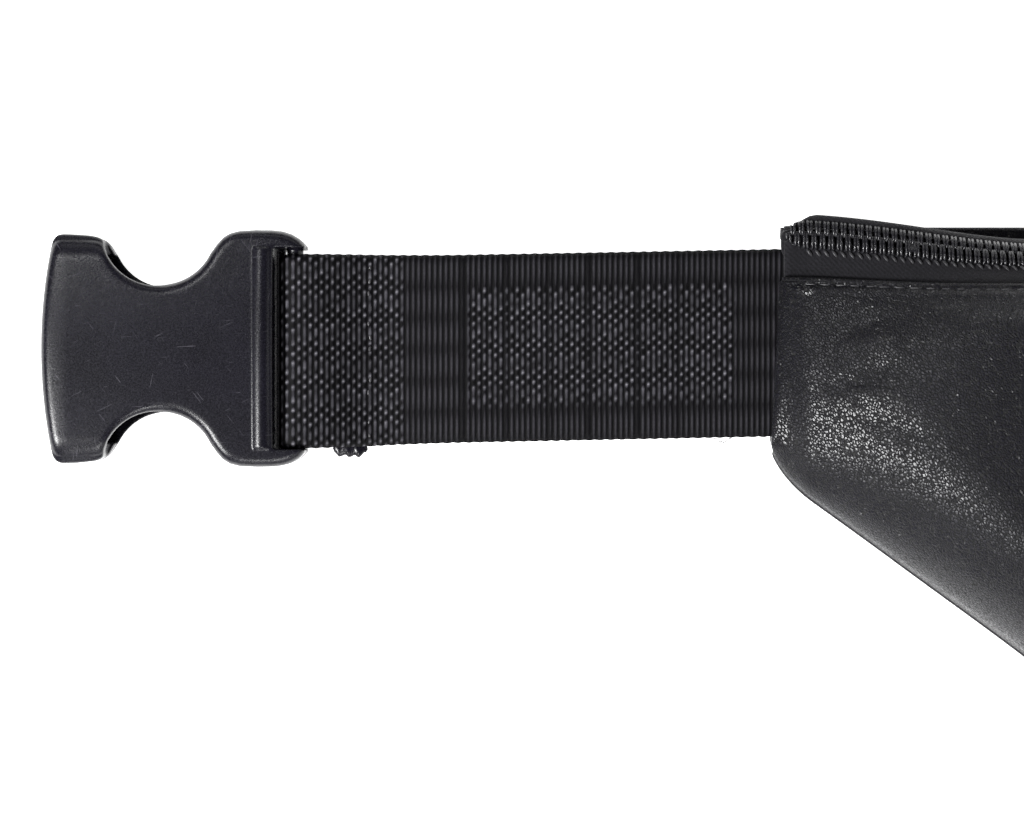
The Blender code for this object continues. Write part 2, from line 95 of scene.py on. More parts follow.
def add_light(name, place, aim, size, power):
    light = bpy.data.lights.new(name, "AREA")
    light.shape = "RECTANGLE"
    light.size, light.size_y = size
    light.energy = power
    holder = bpy.data.objects.new(name, light)
    holder.location = place
    holder.rotation_euler = (Vector(aim) - Vector(place)).to_track_quat("-Z", "Y").to_euler()
    bpy.context.scene.collection.objects.link(holder)


def set_lights():
    world = bpy.data.worlds.new("studio")
    world.use_nodes = True
    world.node_tree.nodes["Background"].inputs[0].default_value = (1.0, 1.0, 1.0, 1.0)
    world.node_tree.nodes["Background"].inputs[1].default_value = 0.05
    bpy.context.scene.world = world
    bpy.context.scene.view_settings.view_transform = "Standard"
    middle = (-0.15, 0.02, 0.0)
    add_light("corner_box", (-0.774, -0.205, 0.615), (-0.17, 0.02, 0.0), (0.24, 0.18), 14.0)
    add_light("upper_patch", (-0.565, 0.286, 0.66), (-0.158, 0.051, 0.0), (0.14, 0.10), 1.3)
    add_light("low_patch", (-0.30, -0.50, 0.50), (-0.30, 0.03, 0.0), (0.16, 0.10), 1.6)
    add_light("low_side", (-0.05, -0.85, 0.40), middle, (1.2, 0.20), 2.4)
    add_light("top_side", (-0.10, 0.95, 0.55), middle, (1.2, 0.25), 1.4)
    add_light("right_side", (0.95, 0.05, 0.55), middle, (0.4, 0.6), 1.8)


def make_floor():
    mesh = bpy.data.meshes.new("floor")
    half = 3.0
    under = -0.0006
    mesh.from_pydata([(-half, -half, under), (half, -half, under), (half, half, under),
                      (-half, half, under)], [], [(0, 1, 2, 3)])
    floor = bpy.data.objects.new("floor", mesh)
    look = bpy.data.materials.new("floor")
    look.use_nodes = True
    shader = look.node_tree.nodes["Principled BSDF"]
    shader.inputs["Base Color"].default_value = (0.93, 0.93, 0.93, 1.0)
    shader.inputs["Roughness"].default_value = 0.9
    shader.inputs["Emission Color"].default_value = (1.0, 1.0, 1.0, 1.0)
    shader.inputs["Emission Strength"].default_value = 1.0
    mesh.materials.append(look)
    bpy.context.scene.collection.objects.link(floor)


# ---------------------------------------------------------------- material helpers

class Nodes:
    """A short way to write shader nodes."""

    def __init__(self, name):
        self.material = bpy.data.materials.new(name)
        self.material.use_nodes = True
        self.tree = self.material.node_tree
        self.shader = self.tree.nodes["Principled BSDF"]

    def add(self, kind, **settings):
        node = self.tree.nodes.new(kind)
        for key, value in settings.items():
            setattr(node, key, value)
        return node

    def link(self, source, target):
        self.tree.links.new(source, target)

    def place(self):
        """Object coordinates, in metres."""
        return self.add("ShaderNodeTexCoord").outputs["Object"]

    def held(self, name):
        """A value kept on the mesh."""
        return self.add("ShaderNodeAttribute", attribute_name=name)

    def noise(self, vector, scale, detail=2.0, rough=0.5):
        node = self.add("ShaderNodeTexNoise")
        node.inputs["Scale"].default_value = scale
        node.inputs["Detail"].default_value = detail
        node.inputs["Roughness"].default_value = rough
        self.link(vector, node.inputs["Vector"])
        return node.outputs["Fac"]

    def cells(self, vector, scale, feature="F1"):
        node = self.add("ShaderNodeTexVoronoi", feature=feature)
        node.inputs["Scale"].default_value = scale
        self.link(vector, node.inputs["Vector"])
        return node.outputs["Distance"]

    def math(self, kind, a, b):
        node = self.add("ShaderNodeMath", operation=kind)
        for socket, value in zip(node.inputs, (a, b)):
            if isinstance(value, (int, float)):
                socket.default_value = value
            else:
                self.link(value, socket)
        return node.outputs[0]

    def ramp(self, value, stops):
        node = self.add("ShaderNodeValToRGB")
        ramp = node.color_ramp
        while len(ramp.elements) < len(stops):
            ramp.elements.new(0.5)
        for element, (where, colour) in zip(ramp.elements, stops):
            element.position = where
            if isinstance(colour, (int, float)):
                colour = (colour, colour, colour)
            element.color = (*colour, 1.0)
        self.link(value, node.inputs[0])
        return node.outputs[0]

    def mix(self, factor, a, b, kind="MIX"):
        node = self.add("ShaderNodeMix", data_type="RGBA", blend_type=kind)
        for socket, value in ((node.inputs[0], factor), (node.inputs[6], a), (node.inputs[7], b)):
            if isinstance(value, (int, float)):
                socket.default_value = value
            elif isinstance(value, tuple):
                socket.default_value = (*value, 1.0)
            else:
                self.link(value, socket)
        return node.outputs[2]

    def bump(self, height, strength, distance, before=None):
        node = self.add("ShaderNodeBump")
        node.inputs["Strength"].default_value = strength
        node.inputs["Distance"].default_value = distance
        self.link(height, node.inputs["Height"])
        if before is not None:
            self.link(before, node.inputs["Normal"])
        return node.outputs["Normal"]

    def done(self, colour=None, roughness=None, normal=None, **fixed):
        for socket, value in (("Base Color", colour), ("Roughness", roughness), ("Normal", normal)):
            if value is None:
                continue
            if isinstance(value, tuple):
                self.shader.inputs[socket].default_value = (*value, 1.0)
            elif isinstance(value, (int, float)):
                self.shader.inputs[socket].default_value = value
            else:
                self.link(value, self.shader.inputs[socket])
        for name, value in fixed.items():
            self.shader.inputs[name.replace("_", " ").title().replace("Ior", "IOR")].default_value = value
        return self.material


def webbing_material():
    """Black woven webbing: painted shade between the yarns and painted highlight on the float crowns, with fine
    filaments along each float.
    """
    n = Nodes("webbing")
    crown = n.held("crown").outputs["Fac"]
    luck = n.held("luck").outputs["Fac"]
    weave = n.held("weave").outputs["Vector"]
    fibre = n.add("ShaderNodeMapping")
    fibre.inputs["Scale"].default_value = (7.0, 1.5, 1.0)
    n.link(weave, fibre.inputs["Vector"])
    strands = n.noise(fibre.outputs["Vector"], 1.4, 3.0, 0.6)
    blotch = n.noise(weave, 0.09, 2.0)
    # Painted shade and highlight: the colour follows the crown height, near black between the yarns and pale on
    # the crowns.
    tone = n.ramp(crown, [(0.0, (0.0012, 0.0011, 0.0017)), (0.45, (0.0048, 0.0045, 0.0062)),
                          (0.75, (0.0850, 0.0825, 0.0960)), (1.0, (0.2900, 0.2820, 0.3100))])
    lit = n.mix(0.60, tone, n.ramp(strands, [(0.30, 0.22), (0.70, 1.0)]), "MULTIPLY")
    varied = n.mix(0.62, lit, n.ramp(luck, [(0.0, 0.15), (1.0, 1.0)]), "MULTIPLY")
    # Random blotches, laid over the painted shade of the weave.
    worn_and_painted_shade = n.mix(0.30, varied, n.ramp(blotch, [(0.3, 0.6), (0.7, 1.0)]), "MULTIPLY")
    rough = n.ramp(strands, [(0.2, 0.66), (0.8, 0.50)])
    normal = n.bump(strands, 0.60, 0.00014)
    return n.done(worn_and_painted_shade, rough, normal, specular_ior_level=0.08)


def plastic_material():
    """Spark-textured black buckle plastic with a faint violet cast and hairline scratches."""
    n = Nodes("buckle_plastic")
    at = n.place()
    grain = n.noise(at, 2700.0, 4.0, 0.75)
    cloud = n.noise(at, 90.0, 3.0)
    scratch = None
    for turn, seed in ((0.45, 0.0), (-0.9, 3.0), (1.35, 7.0), (0.05, 11.0)):
        line = n.add("ShaderNodeMapping", vector_type="TEXTURE")
        line.inputs["Rotation"].default_value = (0.0, 0.0, turn)
        line.inputs["Location"].default_value = (seed * 0.013, seed * 0.007, 0.0)
        line.inputs["Scale"].default_value = (1 / 150.0, 1 / 3600.0, 1 / 60.0)
        n.link(at, line.inputs["Vector"])
        streak = n.ramp(n.noise(line.outputs["Vector"], 1.0, 2.0, 0.5), [(0.725, 0.0), (0.765, 1.0)])
        scratch = streak if scratch is None else n.math("MAXIMUM", scratch, streak)
    tone = n.mix(n.ramp(cloud, [(0.3, 0.0), (0.7, 1.0)]), (0.0058, 0.0054, 0.0092),
                 (0.0088, 0.0082, 0.0136))
    speck = n.mix(0.85, tone, n.ramp(grain, [(0.36, 0.25), (0.64, 1.0)]), "MULTIPLY")
    colour = n.mix(n.math("MULTIPLY", scratch, 0.45), speck, (0.110, 0.106, 0.125))
    rough = n.ramp(grain, [(0.25, 0.22), (0.75, 0.32)])
    fine = n.bump(grain, 0.28, 0.00010)
    normal = n.bump(cloud, 0.10, 0.0004, fine)
    return n.done(colour, rough, normal, specular_ior_level=0.32)


def leather_material():
    """Charcoal leather with a fine pebble, pores and soft creases, and painted shade in the gaps between the
    pebble plates.
    """
    n = Nodes("pouch_leather")
    at = n.place()
    shift = n.add("ShaderNodeVectorMath", operation="SCALE")
    shift.inputs["Scale"].default_value = 0.00070
    mixed = n.add("ShaderNodeTexNoise")
    mixed.inputs["Scale"].default_value = 600.0
    n.link(at, mixed.inputs["Vector"])
    n.link(mixed.outputs["Color"], shift.inputs[0])
    moved = n.add("ShaderNodeVectorMath", operation="ADD")
    n.link(at, moved.inputs[0])
    n.link(shift.outputs[0], moved.inputs[1])
    turned = n.add("ShaderNodeMapping", vector_type="TEXTURE")
    turned.inputs["Rotation"].default_value = (0.0, 0.0, -0.85)
    turned.inputs["Scale"].default_value = (1.55, 0.90, 1.0)
    n.link(moved.outputs[0], turned.inputs["Vector"])
    plates_per_metre = 1850.0
    pebble = n.cells(turned.outputs["Vector"], plates_per_metre, "SMOOTH_F1")
    crack = n.cells(turned.outputs["Vector"], plates_per_metre, "DISTANCE_TO_EDGE")
    pores = n.noise(at, 4200.0, 2.0)
    broad = n.noise(at, 330.0, 3.0)
    cloud = n.noise(at, 38.0, 3.0)
    dome = n.math("SUBTRACT", 1.0, pebble)
    plates = n.ramp(crack, [(0.02, 0.0), (0.20, 1.0)])
    creased = n.math("ADD", n.math("MULTIPLY", plates, 0.85), n.math("MULTIPLY", dome, 0.15))
    height = n.math("ADD", creased, n.math("MULTIPLY", pores, 0.10))
    base = n.mix(n.ramp(cloud, [(0.35, 0.0), (0.65, 1.0)]), (0.0052, 0.0049, 0.0078),
                 (0.0088, 0.0084, 0.0122))
    # Painted shade: the colour falls to a twentieth in the gaps between the pebble plates and stays full on their
    # tops.
    dark = n.mix(1.0, base, n.ramp(creased, [(0.15, 0.05), (0.75, 1.0)]), "MULTIPLY")
    rough = n.ramp(creased, [(0.15, 0.60), (0.75, 0.29)])
    soft = n.bump(broad, 0.25, 0.0005)
    normal = n.bump(height, 0.75, 0.00024, soft)
    return n.done(dark, rough, normal, specular_ior_level=0.28)


def tape_material():
    """Closely woven zip tape: tiny herringbone with a fuzzy sheen."""
    n = Nodes("zip_tape")
    at = n.place()
    weave = n.held("weave").outputs["Vector"]
    wave = n.add("ShaderNodeTexWave", bands_direction="DIAGONAL")
    wave.inputs["Scale"].default_value = 0.55
    wave.inputs["Distortion"].default_value = 1.2
    n.link(weave, wave.inputs["Vector"])
    grain = n.noise(at, 2200.0, 3.0, 0.7)
    height = n.math("ADD", n.math("MULTIPLY", wave.outputs["Fac"], 0.30), n.math("MULTIPLY", grain, 1.9))
    tone = n.ramp(n.math("MULTIPLY", height, 0.45), [(0.25, (0.0015, 0.0014, 0.0020)),
                                                       (0.75, (0.0130, 0.0124, 0.0160))])
    return n.done(tone, 0.78, n.bump(height, 0.8, 0.00020), specular_ior_level=0.15, sheen_weight=0.10,
                  sheen_roughness=0.5)


def nylon_material():
    """Satin nylon of the coil teeth."""
    n = Nodes("zip_coil")
    at = n.place()
    grain = n.noise(at, 2500.0, 2.0)
    tone = n.mix(n.ramp(grain, [(0.3, 0.0), (0.7, 1.0)]), (0.0075, 0.0073, 0.0090),
                 (0.0150, 0.0146, 0.0175))
    rough = n.ramp(grain, [(0.3, 0.20), (0.7, 0.32)])
    return n.done(tone, rough, n.bump(grain, 0.15, 0.00005))


def thread_material():
    """Twisted polyester sewing thread."""
    dark, pale = 0.008, 0.036
    n = Nodes("thread")
    at = n.place()
    grain = n.noise(at, 6000.0, 2.0)
    tone = n.mix(n.ramp(grain, [(0.3, 0.0), (0.7, 1.0)]), (dark, dark * 0.96, dark * 1.15),
                 (pale, pale * 0.97, pale * 1.12))
    return n.done(tone, 0.42, n.bump(grain, 0.5, 0.00006), sheen_weight=0.2)


def metal_material():
    n = Nodes("slider_metal")
    at = n.place()
    grain = n.noise(at, 3000.0, 3.0)
    cloud = n.noise(at, 220.0, 2.0)
    tone = n.mix(n.ramp(cloud, [(0.35, 0.0), (0.65, 1.0)]), (0.060, 0.060, 0.066), (0.105, 0.105, 0.112))
    rough = n.ramp(grain, [(0.3, 0.26), (0.7, 0.42)])
    return n.done(tone, rough, n.bump(grain, 0.12, 0.00004), metallic=0.9)


def elastic_material():
    """Ribbed black elastic with a fuzzy face."""
    n = Nodes("keeper_elastic")
    weave = n.held("weave").outputs["Vector"]
    knit = n.add("ShaderNodeMapping")
    knit.inputs["Scale"].default_value = (1.0, 2.6, 1.0)
    n.link(weave, knit.inputs["Vector"])
    loops = n.cells(knit.outputs["Vector"], 1.0)
    grain = n.noise(n.place(), 3500.0, 2.0)
    height = n.math("ADD", loops, grain)
    tone = n.ramp(n.math("MULTIPLY", height, 0.6), [(0.15, (0.0040, 0.0040, 0.0050)),
                                                    (0.8, (0.0300, 0.0290, 0.0340))])
    return n.done(tone, 0.72, n.bump(height, 0.6, 0.00014), sheen_weight=0.15)


def lining_material():
    n = Nodes("lining_cloth")
    at = n.place()
    grid = n.add("ShaderNodeTexWave", bands_direction="X")
    grid.inputs["Scale"].default_value = 700.0
    across = n.add("ShaderNodeTexWave", bands_direction="Y")
    across.inputs["Scale"].default_value = 700.0
    n.link(at, grid.inputs["Vector"])
    n.link(at, across.inputs["Vector"])
    height = n.math("MULTIPLY", grid.outputs["Fac"], across.outputs["Fac"])
    tone = n.ramp(height, [(0.0, (0.006, 0.006, 0.007)), (1.0, (0.030, 0.030, 0.034))])
    return n.done(tone, 0.7, n.bump(height, 0.4, 0.0001), sheen_weight=0.15)


# ---------------------------------------------------------------- mesh helpers

def mesh_object(name, vertices, faces, look, smooth=True):
    mesh = bpy.data.meshes.new(name)
    mesh.from_pydata([tuple(v) for v in vertices], [], faces)
    mesh.update()
    if smooth:
        mesh.shade_smooth()
    mesh.materials.append(look)
    obj = bpy.data.objects.new(name, mesh)
    bpy.context.scene.collection.objects.link(obj)
    return obj


def grid_faces(rows, columns, wrap=False):
    """Quads of a grid of rows by columns, closed round its columns when wrapped."""
    faces = []
    last = columns if wrap else columns - 1
    for i in range(rows - 1):
        for j in range(last):
            k = (j + 1) % columns
            faces.append((i * columns + j, i * columns + k, (i + 1) * columns + k, (i + 1) * columns + j))
    return faces


def capped_faces(rows, columns):
    """Quads round a closed tube of rows of columns, with a face over each end."""
    faces = grid_faces(rows, columns, wrap=True)
    faces.append(tuple(range(columns)))
    faces.append(tuple((rows - 1) * columns + j for j in reversed(range(columns))))
    return faces


def keep_value(obj, name, values, kind="FLOAT"):
    layer = obj.data.attributes.new(name, kind, "POINT")
    flat = np.asarray(values, np.float32).ravel()
    layer.data.foreach_set("value" if kind == "FLOAT" else "vector", flat)


def step(t):
    t = np.clip(t, 0.0, 1.0)
    return t * t * (3.0 - 2.0 * t)


def arc(centre, radius, start, end, steps):
    angles = np.radians(np.linspace(start, end, steps + 1))
    return [(centre[0] + radius * math.cos(a), centre[1] + radius * math.sin(a)) for a in angles]


def resample(path, spacing):
    """Points every spacing along an open path of (a, b) pairs, with each point's length so far."""
    path = np.asarray(path, float)
    lengths = np.concatenate([[0.0], np.cumsum(np.linalg.norm(np.diff(path, axis=0), axis=1))])
    wanted = np.arange(0.0, lengths[-1] - spacing * 0.3, spacing)
    wanted = np.append(wanted, lengths[-1])
    return np.stack([np.interp(wanted, lengths, path[:, i]) for i in (0, 1)], axis=1), wanted


# ---------------------------------------------------------------- webbing

YARN = 1.12 * MM          # pitch of the rows of floats along the strap, and half a long float's pitch
WEB_SHOWN = 39.2 * MM     # 35 yarns


def float_height(along, across, coarse):
    """Relief of the weave, 0 between the yarns and 1 on a float's crown, and each float's own tone.

    The floats stand across the strap, in rows that follow one another along it. Coarse cloth has
    long floats laid like bricks; fine cloth has short ones side by side.
    """
    row = np.floor(along / YARN + 1e-6)
    in_row = (along / YARN - row) * 2 - 1
    wobble = 0.13 * np.sin(across / YARN * 0.71 + row * 1.9) + 0.10 * np.sin(row * 5.1 + across / YARN * 0.23)
    wobble = wobble * coarse
    long_phase = across / (2 * YARN) + 0.5 * np.mod(row, 2) + wobble * 0.5
    in_long = (long_phase - np.floor(long_phase)) * 2 - 1
    short_phase = across / YARN + wobble * 0.8
    in_short = (short_phase - np.floor(short_phase)) * 2 - 1
    side = np.clip(1.0 - np.abs(in_row) ** 2.2, 0.0, 1.0)
    long_crown = np.clip(1.0 - np.abs(in_long) ** 1.8, 0.0, 1.0) * side
    short_crown = (0.50 + 0.14 * np.clip(1.0 - np.abs(in_short) ** 1.9, 0.0, 1.0)) * side
    code = row * 12.9898 + np.floor(np.where(coarse > 0.5, long_phase, short_phase)) * 78.233
    luck = np.mod(np.sin(code) * 43758.5453, 1.0)
    luck = 0.50 + 0.16 * luck + (0.84 * luck - 0.50) * coarse
    return short_crown + (long_crown - short_crown) * coarse, luck


def flat_centre(x):
    return np.full_like(x, WEB_Y)


def webbing_strip(name, path, look, cells=4, rows=176, back_rows=42, relief=0.36 * MM, zone=None,
                  thick=WEB_THICK, centre=flat_centre, edge_wave=0.07 * MM, wide=None, fade=None):
    """A woven strap along a path in the XZ plane, as one closed mesh with its weave raised."""
    points, along = resample(path, YARN / cells)
    tangent = np.gradient(points, axis=0)
    tangent /= np.linalg.norm(tangent, axis=1)[:, None]
    normal = np.stack([-tangent[:, 1], tangent[:, 0]], axis=1)
    half = WEB_SHOWN / 2
    top = np.linspace(-half, half, rows)
    under = np.linspace(half, -half, back_rows)[1:-1]
    across = np.concatenate([top, under])
    sign = np.concatenate([np.ones(rows), -np.ones(back_rows - 2)])
    a, c = np.meshgrid(along, across, indexing="ij")
    s = np.broadcast_to(sign, a.shape)
    x = np.broadcast_to(points[:, :1], a.shape)
    coarse = np.ones_like(a) if zone is None else zone(x, c)
    crown, luck = float_height(a, c + half, coarse)
    if fade is not None:
        crown = crown * fade(x, c)
    edge = np.clip((half - np.abs(c)) / (0.9 * MM), 0.0, 1.0)
    body = (thick / 2 - relief) * np.sqrt(1.0 - (1.0 - edge) ** 2)
    lift = s * (body + relief * crown * (0.35 + 0.65 * edge))
    bulge = edge_wave * np.sin(a / YARN * math.pi + 0.6) * (1.0 - edge)
    scale = 1.0 if wide is None else wide(x) / WEB_SHOWN
    y = centre(x) + c * scale + np.sign(c) * bulge
    place = np.empty(a.shape + (3,))
    place[..., 0] = points[:, :1] + normal[:, :1] * lift
    place[..., 1] = y
    place[..., 2] = points[:, 1:] + normal[:, 1:] * lift
    count, ring = a.shape
    faces = capped_faces(count, ring)
    obj = mesh_object(name, place.reshape(-1, 3), faces, look)
    # The crown also sets the material's colour: painted shade between the yarns, painted highlight on the crowns.
    keep_value(obj, "crown", crown)
    keep_value(obj, "luck", luck)
    weave = np.stack([a / YARN, c / YARN, s], axis=-1)
    keep_value(obj, "weave", weave, "FLOAT_VECTOR")
    tidy_normals(obj)
    return obj


def tidy_normals(obj):
    mesh = bmesh.new()
    mesh.from_mesh(obj.data)
    bmesh.ops.recalc_face_normals(mesh, faces=mesh.faces)
    mesh.to_mesh(obj.data)
    mesh.free()


BAR_X = -0.2738           # the female buckle's rear bar
BAR_Z = 6.0 * MM
WRAP_RADIUS = 2.8 * MM    # of the webbing's middle round a buckle bar
STITCH_X = -0.2587        # the left return's sewn row
STRAP_TUCK = 3.8 * MM     # how far a strap runs in under the leather's end edge


def left_centre(x):
    """The left strap lies a little askew, lower toward the buckle."""
    return 45.3 * MM + (np.clip(x, -0.279, -0.174) + 0.191) * 0.0195


def left_width(x):
    return 38.5 * MM + 0.9 * MM * step((-0.240 - x) / 0.030)


def left_zone(x, across):
    """Where the left strap shows its coarse floats: by the buckle, and in the long rectangle."""
    by_buckle = step((-0.2516 - x) / (0.7 * MM)) * step((x + 0.2765) / (0.8 * MM))
    long_part = step((x + 0.2388) / (0.7 * MM)) * step((-0.1838 - x) / (0.7 * MM))
    middle = step((across + 12.2 * MM) / (0.6 * MM)) * step((12.8 * MM - across) / (0.6 * MM))
    return np.clip(by_buckle + long_part * middle, 0.0, 1.0)


def left_fade(x, across):
    """Faint cross lines where the cloth is drawn down; the lowered crowns there also take more painted shade."""
    total = np.ones_like(x)
    for line in (-0.2395, -0.2310, -0.2222, -0.2138, -0.2039, -0.1955):
        total = total - 0.30 * np.exp(-((x - line) / (0.45 * MM)) ** 2)
    return total


def left_path():
    start = (WEB_HIGH.x + STRAP_TUCK, 3.0 * MM)
    low = (-0.2545, 4.6 * MM)
    top = BAR_Z + WRAP_RADIUS
    path = [start, ((start[0] + low[0]) / 2, 3.6 * MM), low]
    for t in np.linspace(0.1, 0.9, 9):
        path.append((low[0] + (BAR_X - low[0]) * t, low[1] + (top - low[1]) * float(step(t))))
    path += arc((BAR_X, BAR_Z), WRAP_RADIUS, 90.0, 270.0, 24)
    path.append((-0.2575, BAR_Z - WRAP_RADIUS + 0.1 * MM))
    return path


def make_left_strap(look, thread, melted):
    strap = webbing_strip("left_strap", left_path(), look, zone=left_zone, centre=left_centre,
                          wide=left_width, fade=left_fade)
    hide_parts("left_webbing")
    y = np.linspace(-18.6 * MM, 18.6 * MM, 60)
    x = STITCH_X + 0.0002 * np.sin(y * 900.0)
    line = np.stack([x, left_centre(x) + y, np.full_like(y, 5.62 * MM)], axis=1)
    sewn = stitch_row("left_strap_stitches", line, np.tile([0.0, 0.0, 1.0], (60, 1)), thread, 2.7 * MM,
                      2.3 * MM, 0.24 * MM)
    end = melted_end(melted)
    strand = loose_strand(thread)
    for piece in (sewn, end, strand):
        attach(piece, "left_strap")
    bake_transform(strap, "pouch", "left_strap", start=(-0.1753, WEB_Y, 3.0 * MM), end=(-0.1785, WEB_Y, 3.0 * MM))


def melted_end(look):
    """The heat-cut end of the return layer, which shows past the strap's lower edge."""
    rings, sides = 26, 14
    x = np.linspace(-0.2664, -0.2592, rings)
    vertices = []
    for i, here in enumerate(x):
        t = i / (rings - 1) * 2 - 1
        swell = max(0.0, 1.0 - t ** 4) ** 0.5 * (0.93 + 0.06 * math.sin(i * 0.8) + 0.03 * math.sin(i * 1.9))
        middle = (23.9 * MM + 0.25 * MM * math.sin(i * 0.9), 3.0 * MM)
        for j in range(sides):
            turn = 2 * math.pi * j / sides
            rough = 1.0 + 0.05 * math.sin(j * 0.9 + i * 0.5)
            vertices.append((here, middle[0] + 1.75 * MM * swell * rough * math.cos(turn),
                             middle[1] + 0.95 * MM * swell * rough * math.sin(turn)))
    faces = capped_faces(rings, sides)
    obj = mesh_object("left_strap_cut_end", vertices, faces, look)
    tidy_normals(obj)
    return obj


def loose_strand(look):
    """A stray end of yarn at the strap's lower edge."""
    t = np.linspace(0.0, 1.0, 28)
    x = -0.1884 + 0.0036 * t + 0.0004 * np.sin(t * 7.0)
    y = 25.9 * MM - 0.6 * MM * np.sin(t * 3.0) + 0.25 * MM * np.sin(t * 15.0)
    z = 3.6 * MM + 0.5 * MM * np.sin(t * 4.0)
    obj = tube("left_strap_stray_yarn", np.stack([x, y, z], axis=1), 0.10 * MM, look, 6)
    return obj


def stitch_row(name, points, ups, look, pitch=3.0 * MM, long=2.3 * MM, radius=0.28 * MM, slant=0.0,
               press=0.55):
    """Sewing thread along a 3-D path: one rounded float for each stitch, pressed flat on the cloth."""
    points = np.asarray(points, float)
    ups = np.asarray(ups, float)
    lengths = np.concatenate([[0.0], np.cumsum(np.linalg.norm(np.diff(points, axis=0), axis=1))])
    count = max(1, int(lengths[-1] / pitch))
    sides, rings = 8, 7
    vertices, faces = [], []
    for k in range(count):
        middle = (k + 0.5) * lengths[-1] / count
        here = [np.interp(middle, lengths, points[:, i]) for i in range(3)]
        ahead = [np.interp(middle + 0.2 * MM, lengths, points[:, i]) for i in range(3)]
        up = Vector([np.interp(middle, lengths, ups[:, i]) for i in range(3)]).normalized()
        along = (Vector(ahead) - Vector(here)).normalized()
        side = up.cross(along).normalized()
        along = (along * math.cos(slant) + side * math.sin(slant)).normalized()
        side = up.cross(along).normalized()
        first = len(vertices)
        for i in range(rings):
            t = -1.0 + 2.0 * i / (rings - 1)
            wide = radius * math.sqrt(max(0.0, 1.0 - abs(t) ** 3.0)) + 0.01 * MM
            for j in range(sides):
                turn = 2 * math.pi * j / sides
                offset = side * (wide * math.cos(turn)) + up * (wide * press * math.sin(turn))
                sink = up * (-0.9 * radius * t * t)
                vertices.append(tuple(Vector(here) + along * (t * long / 2) + offset + sink))
        for i in range(rings - 1):
            for j in range(sides):
                m = (j + 1) % sides
                faces.append((first + i * sides + j, first + i * sides + m,
                              first + (i + 1) * sides + m, first + (i + 1) * sides + j))
        faces.append(tuple(first + j for j in reversed(range(sides))))
        faces.append(tuple(first + (rings - 1) * sides + j for j in range(sides)))
    obj = mesh_object(name, vertices, faces, look)
    tidy_normals(obj)
    return obj


# ---------------------------------------------------------------- solid pieces

def prism(outline, low, high):
    """A closed flat-topped solid over a plan outline."""
    count = len(outline)
    vertices = [(a, b, low) for a, b in outline] + [(a, b, high) for a, b in outline]
    faces = [tuple(reversed(range(count))), tuple(range(count, 2 * count))]
    faces += [(i, (i + 1) % count, count + (i + 1) % count, count + i) for i in range(count)]
    mesh = bpy.data.meshes.new("prism")
    mesh.from_pydata(vertices, [], faces)
    obj = bpy.data.objects.new("prism", mesh)
    bpy.context.scene.collection.objects.link(obj)
    tidy_normals(obj)
    return obj


def block(low, high):
    return prism([(low[0], low[1]), (high[0], low[1]), (high[0], high[1]), (low[0], high[1])],
                 low[2], high[2])


def rod(start, end, radius, sides=24, ends=True):
    """A round bar, with domed ends when asked."""
    start, end = Vector(start), Vector(end)
    mesh = bmesh.new()
    if ends:
        bmesh.ops.create_uvsphere(mesh, u_segments=sides, v_segments=12, radius=radius)
        for vert in mesh.verts:
            vert.co.z += (end - start).length / 2 * (1 if vert.co.z > 0 else -1)
    else:
        bmesh.ops.create_cone(mesh, cap_ends=True, segments=sides, radius1=radius, radius2=radius,
                              depth=(end - start).length)
    turn = (end - start).to_track_quat("Z", "Y").to_matrix().to_4x4()
    bmesh.ops.transform(mesh, matrix=Matrix.Translation((start + end) / 2) @ turn, verts=mesh.verts)
    data = bpy.data.meshes.new("rod")
    mesh.to_mesh(data)
    mesh.free()
    obj = bpy.data.objects.new("rod", data)
    bpy.context.scene.collection.objects.link(obj)
    return obj


def edge_round(obj, width, segments=4, angle=40.0):
    bevel = obj.modifiers.new("round", "BEVEL")
    bevel.width = width
    bevel.segments = segments
    bevel.limit_method = "ANGLE"
    bevel.angle_limit = math.radians(angle)
    return obj


def settle(obj):
    """Applies every modifier."""
    graph = bpy.context.evaluated_depsgraph_get()
    mesh = bpy.data.meshes.new_from_object(obj.evaluated_get(graph))
    obj.modifiers.clear()
    obj.data = mesh
    return obj


def carve(body, steps):
    """Adds and cuts solids in order; each step is a mode and a solid."""
    for mode, other in steps:
        settle(other)
        change = body.modifiers.new(mode, "BOOLEAN")
        change.operation = mode
        change.solver = "EXACT"
        change.object = other
        settle(body)
        bpy.data.objects.remove(other)
    return body


def moulded(obj, name, look, voxel, soften):
    """Melts a carved solid's edges into the small rounds of a moulding."""
    remesh = obj.modifiers.new("remesh", "REMESH")
    remesh.mode = "VOXEL"
    remesh.voxel_size = voxel
    smooth = obj.modifiers.new("soften", "SMOOTH")
    smooth.factor = 0.5
    smooth.iterations = soften
    settle(obj)
    obj.name = name
    obj.data.name = name
    obj.data.materials.clear()
    obj.data.materials.append(look)
    obj.data.shade_smooth()
    return obj


SHELL_TOP = SHELL_HIGH.z
SHELL_MOUTH = SHELL_LOW.x + 1.3 * MM
SHELL_Y = WEB_Y - 0.75 * MM


